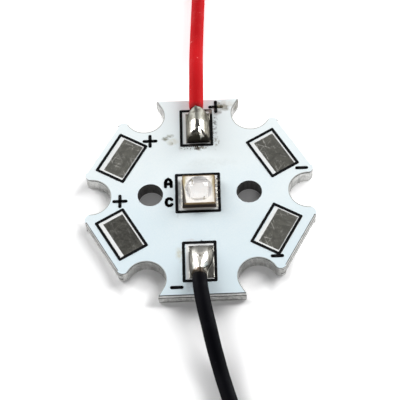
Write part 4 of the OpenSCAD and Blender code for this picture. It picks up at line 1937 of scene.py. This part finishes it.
@dataclass
class Studio:
    """Camera, floor, lamps and surroundings.

    The camera's three angles are degrees, and its near and far limits are metres. The room's
    levels are shares of its height, from the horizon at 0 to the top at 1.
    """

    elevation: float = 59.7835
    azimuth: float = 2.2182
    roll: float = -4.0914
    distance: float = 127.131
    slide: tuple[float, float] = (-0.0272, 0.1629)
    lens: float = 128.905
    sensor: float = 36.0
    sight: tuple[float, float] = (0.005, 10.0)
    floor_half: float = 1500.0
    floor_level: float = -0.005
    floor_colour: Colour = (0.93, 0.93, 0.93)
    floor_roughness: float = 0.9
    glow: float = 0.45
    glow_reach: float = 1.25
    glow_shift: Point = (0.5, 0.2, 0.0)
    rear_gain: float = 0.15
    # A faint painted light on the floor seen through the holes
    hole_glow: float = 0.1
    hole_from: tuple[float, float] = (-1.5, -3.0)
    open_sides: tuple[OpenSide, ...] = (
        OpenSide((-1.0, 0.0, 0.0), 7.4, 9.0, 0.28), OpenSide((1.0, 0.0, 0.0), 7.4, 9.0, 0.8),
        OpenSide((0.0, -1.0, 0.0), 9.95, 10.5, 0.6))
    # Where the glow is held back, for painted shade beside the black lead
    lead_shade_at: tuple[float, float] = (0.7, -15.0)
    lead_shade_half: tuple[float, float] = (2.1, 7.5)
    lead_shade_lean: float = math.radians(13.6)
    lead_shade_softness: float = 1.8
    lead_shade_glow: float = 0.1
    near_ground: Colour = (1.05, 1.05, 1.05)
    overhead: Colour = (0.11, 0.11, 0.115)
    overhead_in_front: Colour = (0.06, 0.06, 0.065)
    front_fade: tuple[float, float] = (0.1, -0.6)
    rear_fade: tuple[float, float] = (0.0, 0.5)
    dims_from: tuple[float, float] = (0.1, 0.5)
    dims_to: tuple[float, float] = (0.4, 0.82)
    softboxes: tuple[Softbox, ...] = (
        Softbox("right_softbox", (0.779, 0.525, 0.342), 0.3, 0.5, 8.8),
        Softbox("left_softbox", (-0.779, 0.525, 0.342), 0.3, 0.5, 7.2),
        Softbox("front_softbox", (0.0, -0.93, 0.37), 1.0, 0.3, 1.5),
    )

    def place_camera(self) -> bpy.types.Object:
        """Puts the camera where the photograph was taken from.

        Returns:
            The camera.
        """
        rise, swing, roll = (math.radians(a) for a in (self.elevation, self.azimuth, self.roll))
        back = Vector((math.sin(swing) * math.cos(rise), -math.cos(swing) * math.cos(rise), math.sin(rise)))
        level = Vector((math.cos(swing), math.sin(swing), 0.0))
        upward = back.cross(level)
        right = math.cos(roll) * level + math.sin(roll) * upward
        up = -math.sin(roll) * level + math.cos(roll) * upward
        data = bpy.data.cameras.new("camera")
        data.lens = self.lens
        data.sensor_width = self.sensor
        data.clip_start, data.clip_end = self.sight
        camera = add_object("camera", data)
        turn = Matrix((right, up, back)).transposed().to_4x4()
        stand = (back * self.distance + right * self.slide[0] + up * self.slide[1]) * MM
        camera.matrix_world = Matrix.Translation(stand) @ turn
        bpy.context.scene.camera = camera
        return camera

    def floor_glow(self, place: Wire) -> Wire:
        """Gives how far the floor is lifted to white: painted light, held back near the board and along the
        black lead so that painted shade stays there.

        Args:
            place: Place on the floor, in millimetres.

        Returns:
            The glow.
        """
        # painted shade: the glow is measured from a place moved to the right and rear, so the floor stays
        # shaded to the left and front of the board
        clear = clear_distance(place + self.glow_shift) + place.dot((0.0, self.rear_gain, 0.0)).most(0.0)
        for side in self.open_sides:
            clear = clear + place.dot(side.direction).ramp(side.near, side.far, 0.0, side.gain)
        # painted light: a faint glow on the floor seen through the holes
        under = clear.ramp(*self.hole_from, 0.0, self.hole_glow)
        # painted shade: the glow is held back along the black lead, so that the floor beside it stays shaded
        lead_shade = window(place, self.lead_shade_at, self.lead_shade_half, self.lead_shade_lean, self.lead_shade_softness)
        return clear.ramp(0.0, self.glow_reach, under, self.glow) * lead_shade.ramp(0.0, 1.0, 1.0, self.lead_shade_glow)

    def lay_floor(self) -> bpy.types.Object:
        """Lays the white floor that keeps the shadows.

        Returns:
            The floor, whose glow only the camera, mirrors and glass see.
        """
        half, level = self.floor_half, self.floor_level
        corners = [(-half, -half, level), (half, -half, level), (half, half, level), (-half, half, level)]
        floor = add_object("floor", mesh_of("floor", corners, [(0, 1, 2, 3)]))
        material = bpy.data.materials.new("white_floor")
        material.use_nodes = True
        surface = Surface(material)
        camera, glossy, clear = surface.canvas.outs(
            "ShaderNodeLightPath", ("Is Camera Ray", "Is Glossy Ray", "Is Transmission Ray"))
        surface.set({
            "Base Color": (*self.floor_colour, 1.0), "Roughness": self.floor_roughness,
            "Specular IOR Level": 0.0, "Emission Color": (1.0, 1.0, 1.0, 1.0),
            "Emission Strength": camera.most(glossy.most(clear)) * self.floor_glow(surface.place)})
        floor.data.materials.append(material)
        return floor

    def fill_world(self) -> bpy.types.World:
        """Fills the room: pale near the ground and dim overhead.

        Returns:
            The world.
        """
        world = bpy.data.worlds.new("studio")
        world.use_nodes = True
        bpy.context.scene.world = world
        canvas = Canvas(world.node_tree)
        _, along, level = canvas.out("ShaderNodeTexCoord", result="Generated").split()
        start, end = (along.ramp(*self.rear_fade, *levels) for levels in (self.dims_from, self.dims_to))
        room = canvas.blend(along.ramp(*self.front_fade), self.overhead, self.overhead_in_front)
        background = world.node_tree.nodes["Background"].inputs
        canvas.feed(canvas.blend(level.ramp(start, end), self.near_ground, room), background["Color"])
        background["Strength"].default_value = 1.0
        return world

    def build(self) -> None:
        """Sets up everything but the camera."""
        bpy.context.scene.view_settings.view_transform = "Standard"
        self.lay_floor()
        self.fill_world()
        for softbox in self.softboxes:
            softbox.build()


def make_leads() -> tuple[Lead, Lead]:
    """Gives both leads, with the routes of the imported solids.

    Returns:
        The red lead and the black lead.
    """
    red = Lead(Polarity.ANODE, -0.09, (
        (-0.09, 9, 1), (-0.07, 10, 1), (-0.04, 11.5, 1), (-0.02, 13, 0.84), (-0.01, 14.5, 0.5),
        (0.02, 16, 0.16), (0.08, 17.5, 0), (0.19, 19.5, 0), (0.3, 21.5, 0), (0.38, 22.8, 0),
        (0.8, 24.3, 0), (1.6, 25.6, 0), (2.75, 27, 0)), (-2.0, 33.5), 1)
    black = Lead(Polarity.CATHODE, -0.16, (
        (-0.16, -9, 1), (-0.06, -10, 1), (0.17, -11.5, 1), (0.48, -13, 0.84), (0.8, -14.5, 0.5),
        (1.17, -16, 0.16), (1.55, -17.5, 0), (2.1, -19.5, 0), (2.8, -21.6, 0), (3.7, -23.5, 0)),
        (-0.6, -30.5), -1)
    return red, black


def make_joints() -> tuple[SolderJoint, SolderJoint]:
    """Gives both solder joints.

    Returns:
        The red lead's joint and the black lead's joint.
    """
    red_flank = ((0, 0.86), (0.05, 0.95), (0.15, 0.985), (0.6, 0.985), (0.78, 0.96), (0.9, 0.88), (1, 0.74))
    red = SolderJoint(
        Polarity.ANODE, 1, left=red_flank, right=red_flank,
        ridge=((0, 0), (0.03, 0.42), (0.1, 0.78), (0.2, 0.97), (0.3, 1), (0.54, 1),
               (0.7, 0.98), (0.85, 0.98), (1, 1.0)),
        fullness=((0, 2.2), (0.3, 2.0), (1, 2.0)), steepness=((0, 0.5), (0.15, 0.75), (0.6, 0.85), (1, 0.8)),
        middle=-0.07, dents=(
            Dent(0.14, 0.06, 0.2, 0.1, -0.22, lean=-1.2), Dent(0.36, 0.14, 0.1, 0.12, 0.08, lean=-1.2),
            Dent(-0.14, 1.0, 0.13, 0.06, -0.3), Dent(-0.1, 0.84, 0.35, 0.05, 0.04, lean=4.0)))
    inner_end = ((0, 0.4), (0.04, 0.64), (0.1, 0.84), (0.2, 0.97))
    black = SolderJoint(
        Polarity.CATHODE, -1, left=(*inner_end, (0.7, 0.985), (0.88, 0.86), (1, 0.62)),
        right=(*inner_end, (0.4, 0.94), (0.57, 0.82), (0.7, 0.6), (0.8, 0.46), (1, 0.44)),
        ridge=((0, 0), (0.04, 0.22), (0.12, 0.38), (0.3, 0.62),
               (0.5, 0.76), (0.7, 0.88), (0.9, 0.98), (1, 1)),
        fullness=((0, 2.4), (0.4, 2.0), (1, 2.0)), steepness=((0, 0.6), (0.35, 0.95), (1, 1.05)),
        middle=-0.08, dents=(Dent(-0.02, 0.27, 0.10, 0.06, 0.03),))
    return red, black


def report(piece: bpy.types.Object) -> None:
    """Reports a finished piece."""
    LOG.info("%s: %d faces", piece.name, len(piece.data.polygons))


def main() -> None:
    """Builds the studio, the leads and the board's pieces in order."""
    logging.basicConfig(level=logging.INFO, format="%(name)s: %(message)s")
    studio = Studio()
    studio.place_camera()
    sheath = sheath_tree()
    for lead, finish in zip(make_leads(), (RED, BLACK)):
        report(lead.build(sheath, finish))
    board = Board()
    board.dress()
    report(board.tear_webs(web_tree(), ALUMINIUM))
    for joint, solder in zip(make_joints(), (RED_SOLDER, BLACK_SOLDER)):
        report(joint.build(solder))
    report(PrintedSigns().build(ink_tree(), INK))
    emitter = Emitter()
    emitter.dress()
    report(emitter.build_lens(SILICONE))
    for piece in FluxResidue().build(bead_tree(), FLUX):
        report(piece)
    studio.build()


if __name__ == "__main__":
    main()
